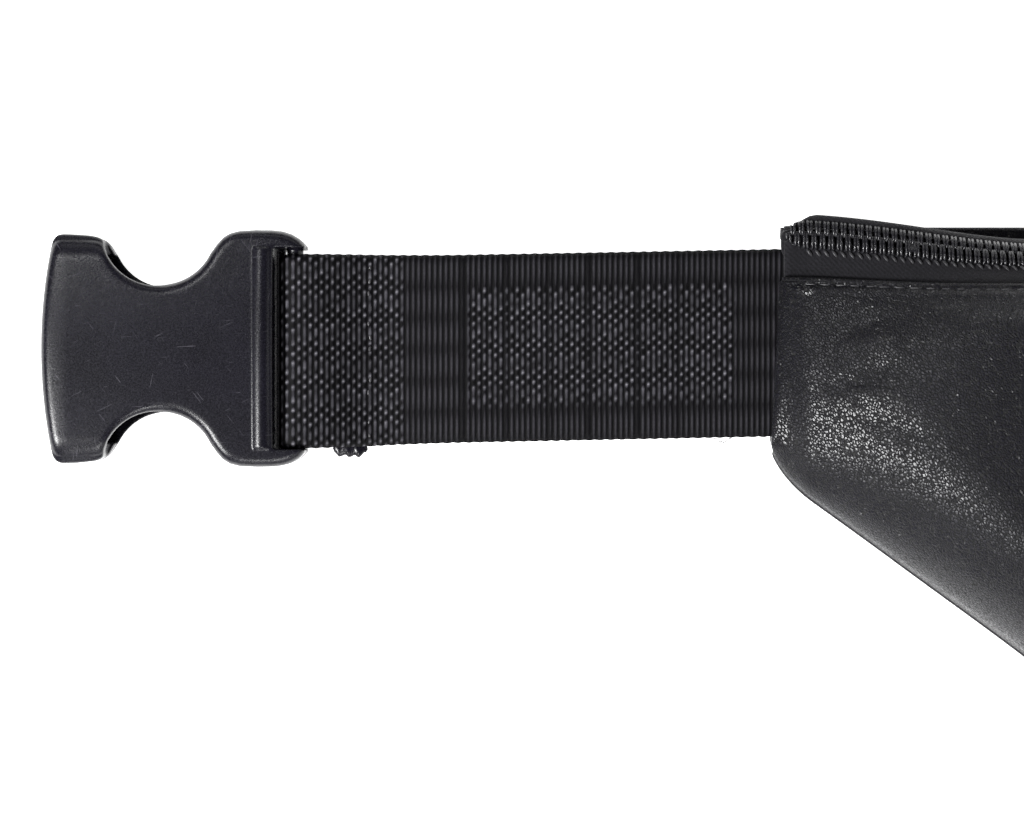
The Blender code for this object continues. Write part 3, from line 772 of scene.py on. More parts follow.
def shell_plan():
    """Plan of the female buckle: bowed mouth, collar, finger notches and rear lugs."""
    half_width = 21.6 * MM
    bow = 2.2 * MM
    bow_radius = (half_width ** 2 + bow ** 2) / (2 * bow)
    sweep = math.degrees(math.asin(half_width / bow_radius))
    half = arc((bow_radius, 0.0), bow_radius, 180.0, 180.0 - sweep, 14)
    half += [(2.65 * MM, 22.5 * MM), (3.3 * MM, 23.15 * MM), (4.3 * MM, 23.4 * MM)]
    half += [(7.0 * MM, 23.25 * MM), (9.8 * MM, 22.95 * MM), (12.7 * MM, 22.4 * MM)]
    half += [(13.5 * MM, 20.6 * MM)]
    half += arc((24.3 * MM, 23.9 * MM), 11.0 * MM, 207.0, 335.0, 30)
    rear = ((35.5, 21.0), (36.7, 22.4), (38.2, 23.35), (40.2, 23.85), (43.5, 24.0), (46.8, 23.95),
            (49.0, 23.7), (50.8, 23.1), (52.3, 22.2), (53.3, 21.1), (53.8, 19.6))
    half += [(a * MM, b * MM) for a, b in rear]
    lower = [(length, -side) for length, side in half[1:][::-1]]
    return [(SHELL_MOUTH + a, SHELL_Y + b) for a, b in half + lower]


def parting_line(obj, height, depth, reach=0.40 * MM, wall=0.6):
    """Presses a fine groove round an upright wall where the mould's halves met."""
    mesh = obj.data
    count = len(mesh.vertices)
    co = np.empty(count * 3)
    normal = np.empty(count * 3, np.float32)
    mesh.vertices.foreach_get("co", co)
    mesh.vertices.foreach_get("normal", normal)
    co = co.reshape(-1, 3)
    normal = normal.reshape(-1, 3).astype(float)
    near = np.clip(1.0 - np.abs(co[:, 2] - height) / reach, 0.0, 1.0)
    upright = step((np.hypot(normal[:, 0], normal[:, 1]) - wall) / 0.3)
    co[:, :2] -= normal[:, :2] * (depth * near * upright)[:, None]
    mesh.vertices.foreach_set("co", co.ravel())
    mesh.update()


def crown_shell(shell):
    """Bows the top across and rounds the collar's long sides."""
    for vert in shell.data.vertices:
        length = vert.co.x - SHELL_MOUTH
        side = abs(vert.co.y - SHELL_Y)
        collar = float(step((16.0 * MM - length) / (3.5 * MM)))
        t = min(max((side - 17.6 * MM) / (5.9 * MM), 0.0), 1.0)
        round_off = 4.0 * MM * (1.0 - math.sqrt(1.0 - t * t)) * collar
        above = min(max((vert.co.z - 6.2 * MM) / (6.0 * MM), -1.0), 1.0)
        vert.co.z -= round_off * above
        if vert.co.z > 9.2 * MM:
            front = min(max((6.0 * MM - length) / (6.0 * MM), 0.0), 1.0)
            high = min((vert.co.z - 9.2 * MM) / (1.6 * MM), 1.0)
            vert.co.z -= (1.0 * MM * (side / (24.0 * MM)) ** 2 + 0.6 * MM * front * front) * high


def make_female_buckle(look):
    def at(length, side, height):
        return (SHELL_MOUTH + length * MM, SHELL_Y + side * MM, height * MM)

    body = edge_round(prism(shell_plan(), 0.1 * MM, SHELL_TOP - 0.1 * MM), 2.3 * MM, 5, 50.0)
    settle(body)
    ridge = rod(at(44.8, -20.2, 10.45), at(44.8, 20.2, 10.45), 2.55 * MM, 32, False)
    socket = edge_round(block(at(-2.0, -19.2, 2.3), at(37.0, 19.2, 9.9)), 0.8 * MM, 2)
    slot = block(at(47.1, -20.4, 2.0), at(62.0, 20.4, 16.0))
    under = block(at(48.7, -20.4, -1.0), at(62.0, 20.4, 5.0))
    bar = rod((BAR_X, SHELL_Y - 20.9 * MM, BAR_Z), (BAR_X, SHELL_Y + 20.9 * MM, BAR_Z), 1.75 * MM)
    notch = arc((23.5 * MM, 23.9 * MM), 11.2 * MM, 0.0, 345.0, 40)
    upper = [("DIFFERENCE", prism([(SHELL_MOUTH + a, SHELL_Y + side * b) for a, b in notch],
                                  6.2 * MM, 15.0 * MM)) for side in (-1, 1)]
    rails = [("UNION", block(at(16.0, side * 8.0 - 0.7, 2.0), at(38.5, side * 8.0 + 0.7, 4.4)))
             for side in (-1, 1)]
    ledges = [("UNION", block(at(3.0, side * 20.4 - 1.6, 4.9), at(12.6, side * 20.4 + 1.2, 7.3)))
              for side in (-1, 1)]
    steps = [("UNION", ridge), ("DIFFERENCE", socket), ("DIFFERENCE", slot), ("DIFFERENCE", under),
             ("UNION", bar)]
    carve(body, steps + upper + rails + ledges)
    shell = moulded(body, "female_buckle", look, 0.28 * MM, 4)
    crown_shell(shell)
    parting_line(shell, 5.6 * MM, 0.34 * MM)
    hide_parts("female_buckle_shell")
    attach(shell, "female_buckle")


# ---------------------------------------------------------------- pouch and zip

ZIP_Y, ZIP_Z = 63.0 * MM, 11.0 * MM
ZIP_TILT = math.radians(40.0)
TOOTH = 1.70 * MM         # pitch of the teeth
POUCH_HALF = BACK_HIGH.x
POUCH_BOTTOM = BACK_LOW.y
LIP = 9.0 * MM            # from the zip's centre to the leather's folded edge
ZIP_REACH = 0.1733        # half the coil's length


def zip_line(x):
    """Height along Y, height along Z and tilt of the zip's centre at x."""
    start = np.where(x < 0, 0.126, 0.1485)
    run = np.where(x < 0, 0.044, 0.024)
    t = np.clip((np.abs(x) - start) / run, 0.0, 1.0)
    g = 0.5 * (t + step(t))
    sway = 0.20 * MM * np.sin(x * 61.0) * np.where(x < 0, 1.0, 0.3) * (1 - g)
    y = ZIP_Y + 4.7 * MM * g + sway * 0.4
    return y, ZIP_Z - 4.2 * MM * g + sway * 0.3, ZIP_TILT * (1 - 0.9 * g)


def zip_at(x, across, out):
    """A point in the zip's own turned plane: across it toward the back, and out of it."""
    y, z, tilt = zip_line(x)
    return np.stack([np.broadcast_to(x, np.shape(y + across)), y + across * np.cos(tilt) + out * np.sin(tilt),
                     z - across * np.sin(tilt) + out * np.cos(tilt)], axis=-1)


END_LOW = 20.0 * MM       # height of the lower outline at the pouch's ends
BOTTOM_HALF = 57.0 * MM   # half of the outline's flat bottom


def lower_edge(x):
    """The pouch's lower outline, with eased corners."""
    ease = 4.0 * MM
    slope = (END_LOW - POUCH_BOTTOM) / (POUCH_HALF - BOTTOM_HALF)
    straight = POUCH_BOTTOM + slope * (np.abs(x) - BOTTOM_HALF)
    lift = np.sqrt((straight - POUCH_BOTTOM) ** 2 + ease ** 2)
    corner = 9.0 * MM
    into = np.clip((np.abs(x) - (POUCH_HALF - corner)) / corner, 0.0, 1.0)
    sway = 0.35 * MM * np.sin(x * 95.0 + 0.8) * step((0.168 - np.abs(x)) / 0.02)
    low = (straight + POUCH_BOTTOM + lift) / 2 + corner * 0.62 * (1.0 - np.sqrt(1.0 - into ** 2))
    return np.maximum(low + sway, POUCH_BOTTOM)


def lean_end(x, y):
    """The left end seam leans a little, so x shifts with y near it."""
    near = step((-x - 0.150) / 0.025)
    return x * (1.0 + 0.0055 * (44.6 * MM - y) / 19.0e-3 * near)


def round_in(t, power=2.0):
    t = np.clip(t, 0.0, 1.0)
    return (1.0 - (1.0 - t) ** power) ** (1.0 / power)


def crease(x, y, start, end, width, depth):
    """A soft furrow from one point to another, fading at its ends."""
    p, q = np.array(start), np.array(end)
    d = q - p
    length = np.hypot(*d)
    t = ((x - p[0]) * d[0] + (y - p[1]) * d[1]) / length ** 2
    off = ((x - p[0]) * d[1] - (y - p[1]) * d[0]) / length
    bend = off + 0.10 * length * np.sin(np.pi * np.clip(t, 0, 1)) * 0.25
    fade = np.clip(np.sin(np.pi * np.clip(t, 0.0, 1.0)), 0.0, 1.0)
    return depth * fade * (-np.exp(-(bend / width) ** 2) + 0.45 * np.exp(-((bend - 2.1 * width) / width) ** 2)
                           + 0.45 * np.exp(-((bend + 2.1 * width) / width) ** 2))


def leather_relief(x, y):
    """Slumps and furrows of soft leather drawn in toward the strap seams and corners."""
    m = 1000.0
    calm = 1.0 - 0.75 * step((-0.118 - x) / 0.02)
    slow = 0.50 * np.sin(x * m / 19.0 + 0.6) * np.sin(y * m / 23.0 + 1.3)
    slow = slow + 0.30 * np.sin(x * m / 11.5 + y * m / 17.0)
    total = slow * MM * calm
    for start, end, width, depth in SEAM_FOLDS:
        total = total + crease(x, y, start, end, width, depth)
    for px, py, wide, high, rise in SWELLS:
        total = total + rise * np.exp(-((x - px) / wide) ** 2 - ((y - py) / high) ** 2)
    return total


# Soft swellings beside the left seam, as x, y, reach along, reach across and rise.
SWELLS = (
    (-0.1575, 0.0550, 5.5 * MM, 4.0 * MM, 1.10 * MM),
    (-0.1460, 0.0545, 6.0 * MM, 4.5 * MM, 1.00 * MM),
    (-0.1555, 0.0465, 4.5 * MM, 3.5 * MM, 0.80 * MM),
)


# Furrows in from the seams, as start and end (x, y), width and depth.
SEAM_FOLDS = (
    ((-0.1700, 0.0350), (-0.1420, 0.0420), 1.9 * MM, 0.24 * MM),
    ((-0.1720, 0.0440), (-0.1500, 0.0510), 1.5 * MM, 0.22 * MM),
    ((-0.1640, 0.0385), (-0.1560, 0.0350), 0.5 * MM, 0.16 * MM),
    ((-0.1600, 0.0370), (-0.1530, 0.0365), 0.4 * MM, 0.12 * MM),
    ((-0.1640, 0.0320), (-0.1430, 0.0240), 2.6 * MM, 0.25 * MM),
    ((-0.1330, -0.0060), (-0.1080, 0.0040), 3.2 * MM, 0.35 * MM),
    ((0.1740, 0.0470), (0.1480, 0.0400), 1.5 * MM, 0.40 * MM),
    ((0.1735, 0.0360), (0.1500, 0.0230), 1.8 * MM, 0.45 * MM),
    ((0.1660, 0.0560), (0.1400, 0.0500), 1.5 * MM, 0.30 * MM),
    ((0.1480, 0.0100), (0.1200, 0.0050), 2.4 * MM, 0.45 * MM),
    ((-0.1050, -0.0280), (-0.0800, -0.0120), 3.0 * MM, 0.60 * MM),
    ((-0.0700, -0.0600), (-0.0550, -0.0350), 3.0 * MM, 0.70 * MM),
    ((0.1050, -0.0280), (0.0780, -0.0140), 3.0 * MM, 0.60 * MM),
    ((0.0700, -0.0600), (0.0600, -0.0330), 3.0 * MM, 0.65 * MM),
    ((-0.0300, 0.0480), (0.0280, 0.0450), 4.5 * MM, 0.55 * MM),
    ((0.0400, 0.0200), (0.0900, 0.0330), 5.0 * MM, 0.50 * MM),
    ((-0.0850, 0.0330), (-0.0400, 0.0180), 5.0 * MM, 0.50 * MM),
)


def pouch_height(x, y):
    from_end = POUCH_HALF - np.abs(x)
    over_strap = step((23.5 * MM - np.abs(y - WEB_Y)) / (4.0 * MM))
    rim = 1.7 * MM + 2.5 * MM * over_strap * step(1.0 - from_end / (5.0 * MM))
    inward = from_end / 0.065
    depth = 7.6 * MM + 18.6 * MM * np.sin(math.pi / 2 * np.clip(inward, 0.0, 1.0))
    low = y - lower_edge(x)
    low_round = 0.023 + 0.008 * step((np.abs(x) - 0.100) / 0.05)
    dome = rim + (depth - rim) * round_in(low / low_round, 2.1) * round_in(from_end / 0.008, 2.0)
    edge_y, edge_z, tilt = lip_edge(x)
    plane = edge_z + (edge_y - y) * np.tan(tilt)
    soft = 1.6 * MM
    height = (dome + plane - np.sqrt((dome - plane) ** 2 + soft ** 2)) / 2
    settled = step(low / 0.014) * step(from_end / 0.010) * step((edge_y - y) / 0.010)
    sewn = edge_y - y - 1.5 * MM
    dip = -0.30 * MM * np.exp(-(sewn / (0.45 * MM)) ** 2) \
        + 0.30 * MM * np.exp(-((sewn - 1.0 * MM) / (0.75 * MM)) ** 2)
    ripple = np.sin(x * 1850.0) + 0.6 * np.sin(x * 1130.0 + 1.0) + 0.5 * np.sin(x * 410.0)
    pucker = 0.085 * MM * ripple * np.exp(-((sewn + 0.2 * MM) / (1.1 * MM)) ** 2)
    seam = (dip + pucker) * step(from_end / 0.004)
    return np.maximum(height + leather_relief(x, y) * settled + seam, 0.9 * MM)


def lip_edge(x):
    """Where the leather's folded top edge lies: its Y and Z, and the zip's tilt there."""
    _, _, tilt = zip_line(x)
    point = zip_at(x, -LIP, 1.9 * MM)
    return point[..., 1], point[..., 2], tilt


def loft(name, xs, section, look):
    """A closed skin through a ring of (y, z) points at each x."""
    rings = np.array([section(x) for x in xs])
    count, ring = rings.shape[:2]
    place = np.empty((count, ring, 3))
    place[..., 0] = np.asarray(xs)[:, None]
    place[..., 1:] = rings
    faces = capped_faces(count, ring)
    obj = mesh_object(name, place.reshape(-1, 3), faces, look)
    tidy_normals(obj)
    return obj


def end_spaced(half, count, crowd=0.94):
    """Points from -half to half that crowd toward both ends."""
    t = np.linspace(-1.0, 1.0, count)
    return half * np.sin(t * math.pi / 2 * crowd) / math.sin(math.pi / 2 * crowd)


def make_front(look, thread):
    """Front leather: a turned lip over the zip tape, the domed front and the rolled seam edge."""
    xs = end_spaced(POUCH_HALF, 420)
    rows = []
    down = 1.0 - np.cos(np.linspace(0.0, math.pi / 2, 120))
    for x in xs:
        edge_y, edge_z, tilt = lip_edge(x)
        bottom = float(lower_edge(x))
        turned = []
        for angle in np.linspace(-100.0, 90.0, 9):
            spin = math.radians(angle)
            across = -LIP - 0.9 * MM + 0.9 * MM * math.cos(spin)
            turned.append(zip_at(x, across, 1.0 * MM + 0.9 * MM * math.sin(spin))[1:])
        top = float(turned[-1][0]) - 0.15 * MM
        ys = bottom + (top - bottom) * (1.0 - down[::-1])[::-1]
        front = np.stack([ys, pouch_height(np.full_like(ys, x), ys)], axis=1)
        tuck = [(bottom + 0.9 * MM, 0.75 * MM), (bottom + 2.4 * MM, 0.70 * MM)]
        if abs(x) > POUCH_HALF - 1e-6:
            front[:, 1] = 1.2 * MM
        rows.append(np.concatenate([turned, front, tuck]))
    rows = np.array(rows)
    place = np.empty(rows.shape[:2] + (3,))
    place[..., 0] = lean_end(xs[:, None], rows[..., 0])
    place[..., 1:] = rows
    count, ring = rows.shape[:2]
    front = mesh_object("pouch_front", place.reshape(-1, 3), grid_faces(count, ring), look)
    flip_to(front, Vector((0, 0, 1)))
    solid = front.modifiers.new("leather", "SOLIDIFY")
    solid.thickness = 1.1 * MM
    solid.offset = -1.0
    settle(front)
    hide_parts("front_panel", "lip_facing")
    blend_lip(front)
    line = np.linspace(-0.1705, 0.1705, 400)
    y = lip_edge(line)[0] - 1.5 * MM
    sewn = np.stack([line, y, pouch_height(line, y) + 0.06 * MM], axis=1)
    ups = np.stack([0 * line, np.sin(lip_edge(line)[2]), np.cos(lip_edge(line)[2])], axis=1)
    stitches = stitch_row("lip_stitches", sewn, ups, thread, 3.0 * MM, 2.2 * MM, 0.13 * MM)
    blend_lip(stitches)


def flip_to(obj, way):
    """Turns the faces to look a way, judged by their sum."""
    total = sum((p.normal * p.area for p in obj.data.polygons), Vector())
    if total.dot(way) < 0:
        obj.data.flip_normals()


def blend_lip(obj):
    """Follows the lip near the mouth, opening like a lens between the zip's ends."""
    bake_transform(obj, "pouch", "lip", start=(0.0, 0.010, 0.0), end=(0.0, 0.056, 0.0))
    co = np.array([v.co for v in obj.data.vertices])
    layer = obj.data.attributes["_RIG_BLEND"].data
    base = np.empty(len(co), np.float32)
    layer.foreach_get("value", base)
    lens = np.clip(1.0 - (np.abs(co[:, 0]) / 0.140) ** 2, 0.0, 1.0) ** 0.8
    layer.foreach_set("value", (base * lens).astype(np.float32))


def band(name, xs, inner, outer, thick, look, out=0.0):
    """A flat band of cloth in the zip's plane, with its weave coordinates."""
    columns = 24
    across = np.linspace(inner, outer, columns)
    ring = np.concatenate([across, across[::-1]])
    sign = np.concatenate([np.ones(columns), -np.ones(columns)])
    edge = np.clip(np.minimum(ring - inner, outer - ring) / (0.4 * MM), 0.0, 1.0)
    rise = out + sign * thick / 2 * np.sqrt(1 - (1 - edge) ** 2 * 0.9)
    obj = loft(name, xs, lambda x: zip_at(np.full_like(ring, x), ring, rise)[:, 1:], look)
    a = np.repeat(np.asarray(xs), len(ring))
    c = np.tile(ring, len(xs))
    keep_value(obj, "weave", np.stack([a / MM, c / MM, 0 * a], axis=-1), "FLOAT_VECTOR")
    return obj


def coil_curve(name, side, look):
    """One half of the zip's nylon coil: twin-legged loops whose heads stop at about the centre line."""
    turns = int(2 * ZIP_REACH / TOOTH)
    shift = 0.25 if side > 0 else -0.25
    reach = 0.84 if side > 0 else 1.0
    shape = [(3.05, 0.0, 0.00), (2.85, 0.70, 0.03), (1.6, 0.98, 0.05), (0.35, 0.95, 0.08),
             (-0.12, 0.72, 0.15),
             (-0.25, 0.55, 0.24), (-0.12, 0.72, 0.33), (0.35, 0.95, 0.40), (1.6, 0.98, 0.43),
             (2.85, 0.70, 0.45), (3.05, 0.0, 0.50), (3.00, -0.35, 0.75)]
    points = []
    for k in range(turns):
        for across, out, along in shape:
            x = -ZIP_REACH + (k + along + shift) * TOOTH
            end = math.sqrt(max(0.10, 1.0 - max(0.0, (abs(x) - 0.1692) / 0.0046) ** 2))
            points.append(zip_at(np.array(x), side * across * end * reach * MM, out * end * MM))
    return tube(name, points, 0.31 * MM, look)


def tube(name, points, radius, look, sides=8):
    """A round tube through 3-D points, carried along without twist."""
    points = np.asarray(points, float)
    tangent = np.gradient(points, axis=0)
    tangent /= np.linalg.norm(tangent, axis=1)[:, None]
    normal = np.cross(tangent[0], (0.0, 0.0, 1.0))
    if np.linalg.norm(normal) < 1e-6:
        normal = np.cross(tangent[0], (0.0, 1.0, 0.0))
    radii = np.broadcast_to(radius, (len(points),))
    vertices = []
    for point, way, r in zip(points, tangent, radii):
        normal = normal - way * np.dot(normal, way)
        normal /= np.linalg.norm(normal)
        other = np.cross(way, normal)
        for j in range(sides):
            turn = 2 * math.pi * j / sides
            vertices.append(point + r * (normal * math.cos(turn) + other * math.sin(turn)))
    count = len(points)
    faces = capped_faces(count, sides)
    obj = mesh_object(name, vertices, faces, look)
    tidy_normals(obj)
    return obj


def make_zip(tape, coil, thread):
    xs = np.linspace(-0.1742, 0.1742, 260)
    front = band("zip_tape_front_cloth", xs, -9.8 * MM, -1.4 * MM, 0.55 * MM, tape, -0.2 * MM)
    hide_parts("zip_tape_front")
    blend_lip(front)
    back = back_tape(xs, tape)
    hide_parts("zip_tape_back")
    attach(back, "pouch")
    halves = (("coil_front", -1, "zip_coil_front"), ("coil_back", 1, "zip_coil_back"))
    for name, side, node in halves:
        half = coil_curve(name, side, coil)
        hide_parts(node)
        line = np.linspace(-0.1700, 0.1700, 200)
        sewn = stitch_row(name + "_sewing", zip_at(line, (-3.85 if side < 0 else 2.2) * MM, 0.42 * MM),
                          zip_at(line, 0.0, 1.0) - zip_at(line, 0.0, 0.0), thread, TOOTH, 1.75 * MM,
                          0.27 * MM, slant=side * math.radians(48.0))
        for piece in (half, sewn):
            if side < 0:
                blend_lip(piece)
            else:
                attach(piece, "pouch")


def back_tape(xs, look):
    """Back tape, which leaves the coil in its plane and turns down to the back panel."""
    turn_count = 20

    def section(x):
        start = zip_at(np.array(x), 1.4 * MM, -0.2 * MM)[1:]
        y, z, tilt = zip_line(x)
        upright = tilt / ZIP_TILT
        inset = float(step((np.abs(x) - 0.1675) / 0.0070)) * 2.6
        reach = (3.3 + 0.1 * upright - inset) * MM
        over = zip_at(np.array(x), reach, 0.15 * MM)[1:]
        low = np.array([66.8 * MM + (3.3 * (1 - upright) - inset) * MM, 1.9 * MM])
        knee = np.array([over[0] + 0.55 * MM, (over[1] + low[1]) / 2 + 1.0 * MM])
        t = np.linspace(0.0, 1.0, turn_count)[:, None]
        curve = (1 - t) ** 3 * start + 3 * t * (1 - t) ** 2 * (2 * over - start * 0.9 - low * 0.1) \
            + 3 * t ** 2 * (1 - t) * knee + t ** 3 * low
        way = np.gradient(curve, axis=0)
        way /= np.linalg.norm(way, axis=1)[:, None]
        side = np.stack([way[:, 1], -way[:, 0]], axis=1) * 0.28 * MM
        return np.concatenate([curve - side, (curve + side)[::-1]])

    obj = loft("zip_tape_back_cloth", xs, section, look)
    a = np.repeat(np.asarray(xs), 2 * turn_count)
    c = np.tile(np.concatenate([np.arange(turn_count), np.arange(turn_count)[::-1]]) * 0.45, len(xs))
    keep_value(obj, "weave", np.stack([a / MM, c, 0 * a], axis=-1), "FLOAT_VECTOR")
    return obj


def make_zip_ends(tape):
    """Rounded tape ends that close over the last teeth at each end seam."""
    rings, around = 26, 40
    for name, side, node in (("zip_end_left_wrap", -1, "zip_end_left"),
                             ("zip_end_right_wrap", 1, "zip_end_right")):
        vertices = []
        for i in range(rings):
            t = i / (rings - 1)
            x = side * (0.1708 + 0.0040 * math.sin(t * math.pi / 2))
            shrink = math.sqrt(max(0.0, 1.0 - t ** 2.4)) + 0.02
            back = 2.3 * (1.0 - 0.62 * t)
            for j in range(around):
                turn = 2 * math.pi * j / around
                wide = (back if math.cos(turn) > 0 else 4.6) * MM * shrink
                across = -0.6 * MM + wide * math.cos(turn)
                out = (-0.70 + 0.60 * shrink * math.sin(turn) * (1.0 + 0.06 * math.sin(6 * turn))) * MM
                vertices.append(zip_at(np.array(x), across, out))
        faces = capped_faces(rings, around)
        obj = mesh_object(name, vertices, faces, tape)
        tidy_normals(obj)
        co = np.array([v.co for v in obj.data.vertices])
        weave = np.stack([co[:, 0] / MM, co[:, 1] / MM, 0 * co[:, 0]], axis=-1)
        keep_value(obj, "weave", weave, "FLOAT_VECTOR")
        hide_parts(node)
        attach(obj, "pouch")


def softened(node, name, look, voxel, soften, body):
    """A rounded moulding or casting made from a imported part's own shape."""
    source = bpy.data.objects[node]
    obj = bpy.data.objects.new(name, source.data.copy())
    bpy.context.scene.collection.objects.link(obj)
    moulded(obj, name, look, voxel, soften)
    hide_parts(node)
    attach(obj, body)
    return obj


ROOT_END = 0.4592         # x below which the prongs' roots are pushed back into the frame
ROOT_REACH = 0.0026       # length over which the push grows to its full ROOT_PUSH
ROOT_PUSH = 1.5 * MM
CRIMP_DOWN = 1.25 * MM    # how far the zip stops sit below and beside their CAD solids
CRIMP_OVER = 0.80 * MM


def make_hardware(plastic, metal, elastic, coil):
    male = softened("male_buckle_frame", "male_buckle", plastic, 0.30 * MM, 6,
                    body="adjuster")
    parting_line(male, 7.05 * MM, 0.28 * MM)
    grip_ribs(plastic)
    for name, body in (("prong_upper", "upper_prong"), ("prong_lower", "lower_prong")):
        prong = softened(name, name + "_moulding", plastic, 0.22 * MM, 5, body=body)
        for vert in prong.data.vertices:
            near_root = min(max((ROOT_END - vert.co.x) / ROOT_REACH, 0.0), 1.0)
            vert.co.x -= ROOT_PUSH * near_root
    softened("slider_body", "zip_slider", metal, 0.11 * MM, 4, body="slider")
    softened("slider_puller", "zip_puller", metal, 0.11 * MM, 3, body="puller")
    for side in ("left", "right"):
        crimp = softened("zip_stop_" + side, "zip_stop_" + side + "_crimp", coil,
                         0.09 * MM, 3, body="pouch")
        for vert in crimp.data.vertices:
            vert.co.z -= CRIMP_DOWN
            vert.co.y -= CRIMP_OVER
    make_keeper(elastic)


def grip_ribs(look):
    """Raised finger ribs across the male buckle's base block."""
    first_rib = 0.4487
    pieces = []
    for i in range(3):
        x = first_rib + 2.1 * MM * i
        rib = rod((x, WEB_Y - 15.0 * MM, 10.75 * MM), (x, WEB_Y + 15.0 * MM, 10.75 * MM), 0.75 * MM, 16)
        pieces.append(rib)
    body = pieces[0]
    for other in pieces[1:]:
        join = body.modifiers.new("join", "BOOLEAN")
        join.operation = "UNION"
        join.solver = "EXACT"
        join.object = other
        settle(body)
        bpy.data.objects.remove(other)
    body.name = "male_buckle_ribs"
    body.data.materials.clear()
    body.data.materials.append(look)
    body.data.shade_smooth()
    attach(body, "adjuster")


def make_keeper(look):
    """Ribbed elastic loop round both layers of the right strap."""
    low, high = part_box("strap_keeper")
    y0, y1 = low.y, high.y
    z0, z1 = low.z, high.z
    radius = 1.5 * MM
    corners = [((y1 - radius, z1 - radius), 0.0), ((y0 + radius, z1 - radius), 90.0),
               ((y0 + radius, z0 + radius), 180.0), ((y1 - radius, z0 + radius), 270.0)]
    outline = []
    for middle, start in corners:
        outline += arc(middle, radius, start, start + 90.0, 8)
    outline.append(outline[0])
    ring, _ = resample(outline, 0.30 * MM)
    ring = ring[:-1]
    way = np.roll(ring, -1, axis=0) - np.roll(ring, 1, axis=0)
    way /= np.linalg.norm(way, axis=1)[:, None]
    out = np.stack([way[:, 1], -way[:, 0]], axis=1)
    across = np.linspace(low.x, high.x, 44)
    t = (across - low.x) / (high.x - low.x)
    edge = np.clip(np.minimum(t, 1 - t) / 0.06, 0.0, 1.0)
    face = np.concatenate([across, across[::-1]])
    ribs = 8
    rib = 0.16 * MM * np.cos(t * math.pi * 2 * ribs)
    outer = -0.18 * MM + rib * edge - 0.25 * MM * (1 - edge) ** 2
    inner = -0.72 * MM + 0.10 * MM * (1 - edge)
    depth = np.concatenate([outer, inner * np.ones_like(outer[::-1])])
    count, sides = len(ring), len(face)
    place = np.empty((count, sides, 3))
    place[..., 0] = face[None, :]
    wave = 0.05 * MM * np.sin(np.arange(count) * 2.1)[:, None]
    place[..., 1] = ring[:, :1] + out[:, :1] * (depth[None, :] + wave)
    place[..., 2] = ring[:, 1:] + out[:, 1:] * (depth[None, :] + wave)
    faces = []
    for i in range(count):
        k = (i + 1) % count
        for j in range(sides):
            m = (j + 1) % sides
            faces.append((i * sides + j, i * sides + m, k * sides + m, k * sides + j))
    obj = mesh_object("strap_keeper_loop", place.reshape(-1, 3), faces, look)
    tidy_normals(obj)
    lengths = np.repeat(np.arange(count) * 0.3, sides)
    weave = np.stack([np.tile(face / MM, count), lengths, 0 * lengths], axis=-1)
    keep_value(obj, "weave", weave, "FLOAT_VECTOR")
    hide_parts("strap_keeper")
    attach(obj, "keeper")


def make_right_strap(look, thread):
    start = LOWER_LOW.x - STRAP_TUCK
    root = webbing_strip("right_strap_root", [(start, 3.0 * MM), (0.1805, 2.86 * MM)], look, 4, 106, 30,
                         0.12 * MM, None, thick=1.1 * MM)
    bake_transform(root, "pouch", "right_strap", start=(0.1753, WEB_Y, 3.0 * MM), end=(0.1785, WEB_Y, 3.0 * MM))
    lower = [(0.1774, 2.98 * MM), (0.1849, 2.7 * MM), (0.1969, 2.0 * MM), (0.4235, 2.0 * MM)]
    base = webbing_strip("right_strap_lower", lower, look, 4, 106, 30, 0.26 * MM, right_zone)
    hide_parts("right_webbing")
    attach(base, "right_strap")
    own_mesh(base)

    bar_z = 7.2 * MM
    turn = [(0.4242, 3.9 * MM), (0.4340, 3.95 * MM)]
    turn += arc((0.4400, bar_z), WRAP_RADIUS, -90.0, 90.0, 20)
    turn += [(0.4330, bar_z + WRAP_RADIUS)]
    wrap = webbing_strip("right_strap_turn", turn, look, 4, 106, 30, 0.24 * MM, None)
    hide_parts("right_webbing_turn")
    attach(wrap, "adjuster")

    high = bar_z + WRAP_RADIUS
    low = 3.85 * MM
    tail = [(0.4329, high), (0.4220, high)]
    for t in np.linspace(0.1, 1.0, 10):
        tail.append((0.4220 + (0.3950 - 0.4220) * t, high + (low - high) * float(step(t))))
    tail.append((TAIL_LOW.x + 1.0 * MM, low))
    end = webbing_strip("right_strap_tail", tail, look, 4, 141, 40, 0.28 * MM, None)
    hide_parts("right_webbing_tail")
    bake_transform(end, "adjuster", "tail", start=(0.4325, WEB_Y, high), end=(0.3780, WEB_Y, low))
    hem = tail_hem(look, thread, low)
    for piece in hem:
        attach(piece, "tail")


def right_zone(x, across):
    """Coarse floats beside the pouch, in a long rectangle like the left strap's."""
    long_part = step((x - 0.1838) / (0.7 * MM)) * step((0.2388 - x) / (0.7 * MM))
    middle = step((across + 12.5 * MM) / (0.6 * MM)) * step((12.5 * MM - across) / (0.6 * MM))
    return np.clip(long_part * middle + step((x - 0.2516) / (0.7 * MM)), 0.0, 1.0)


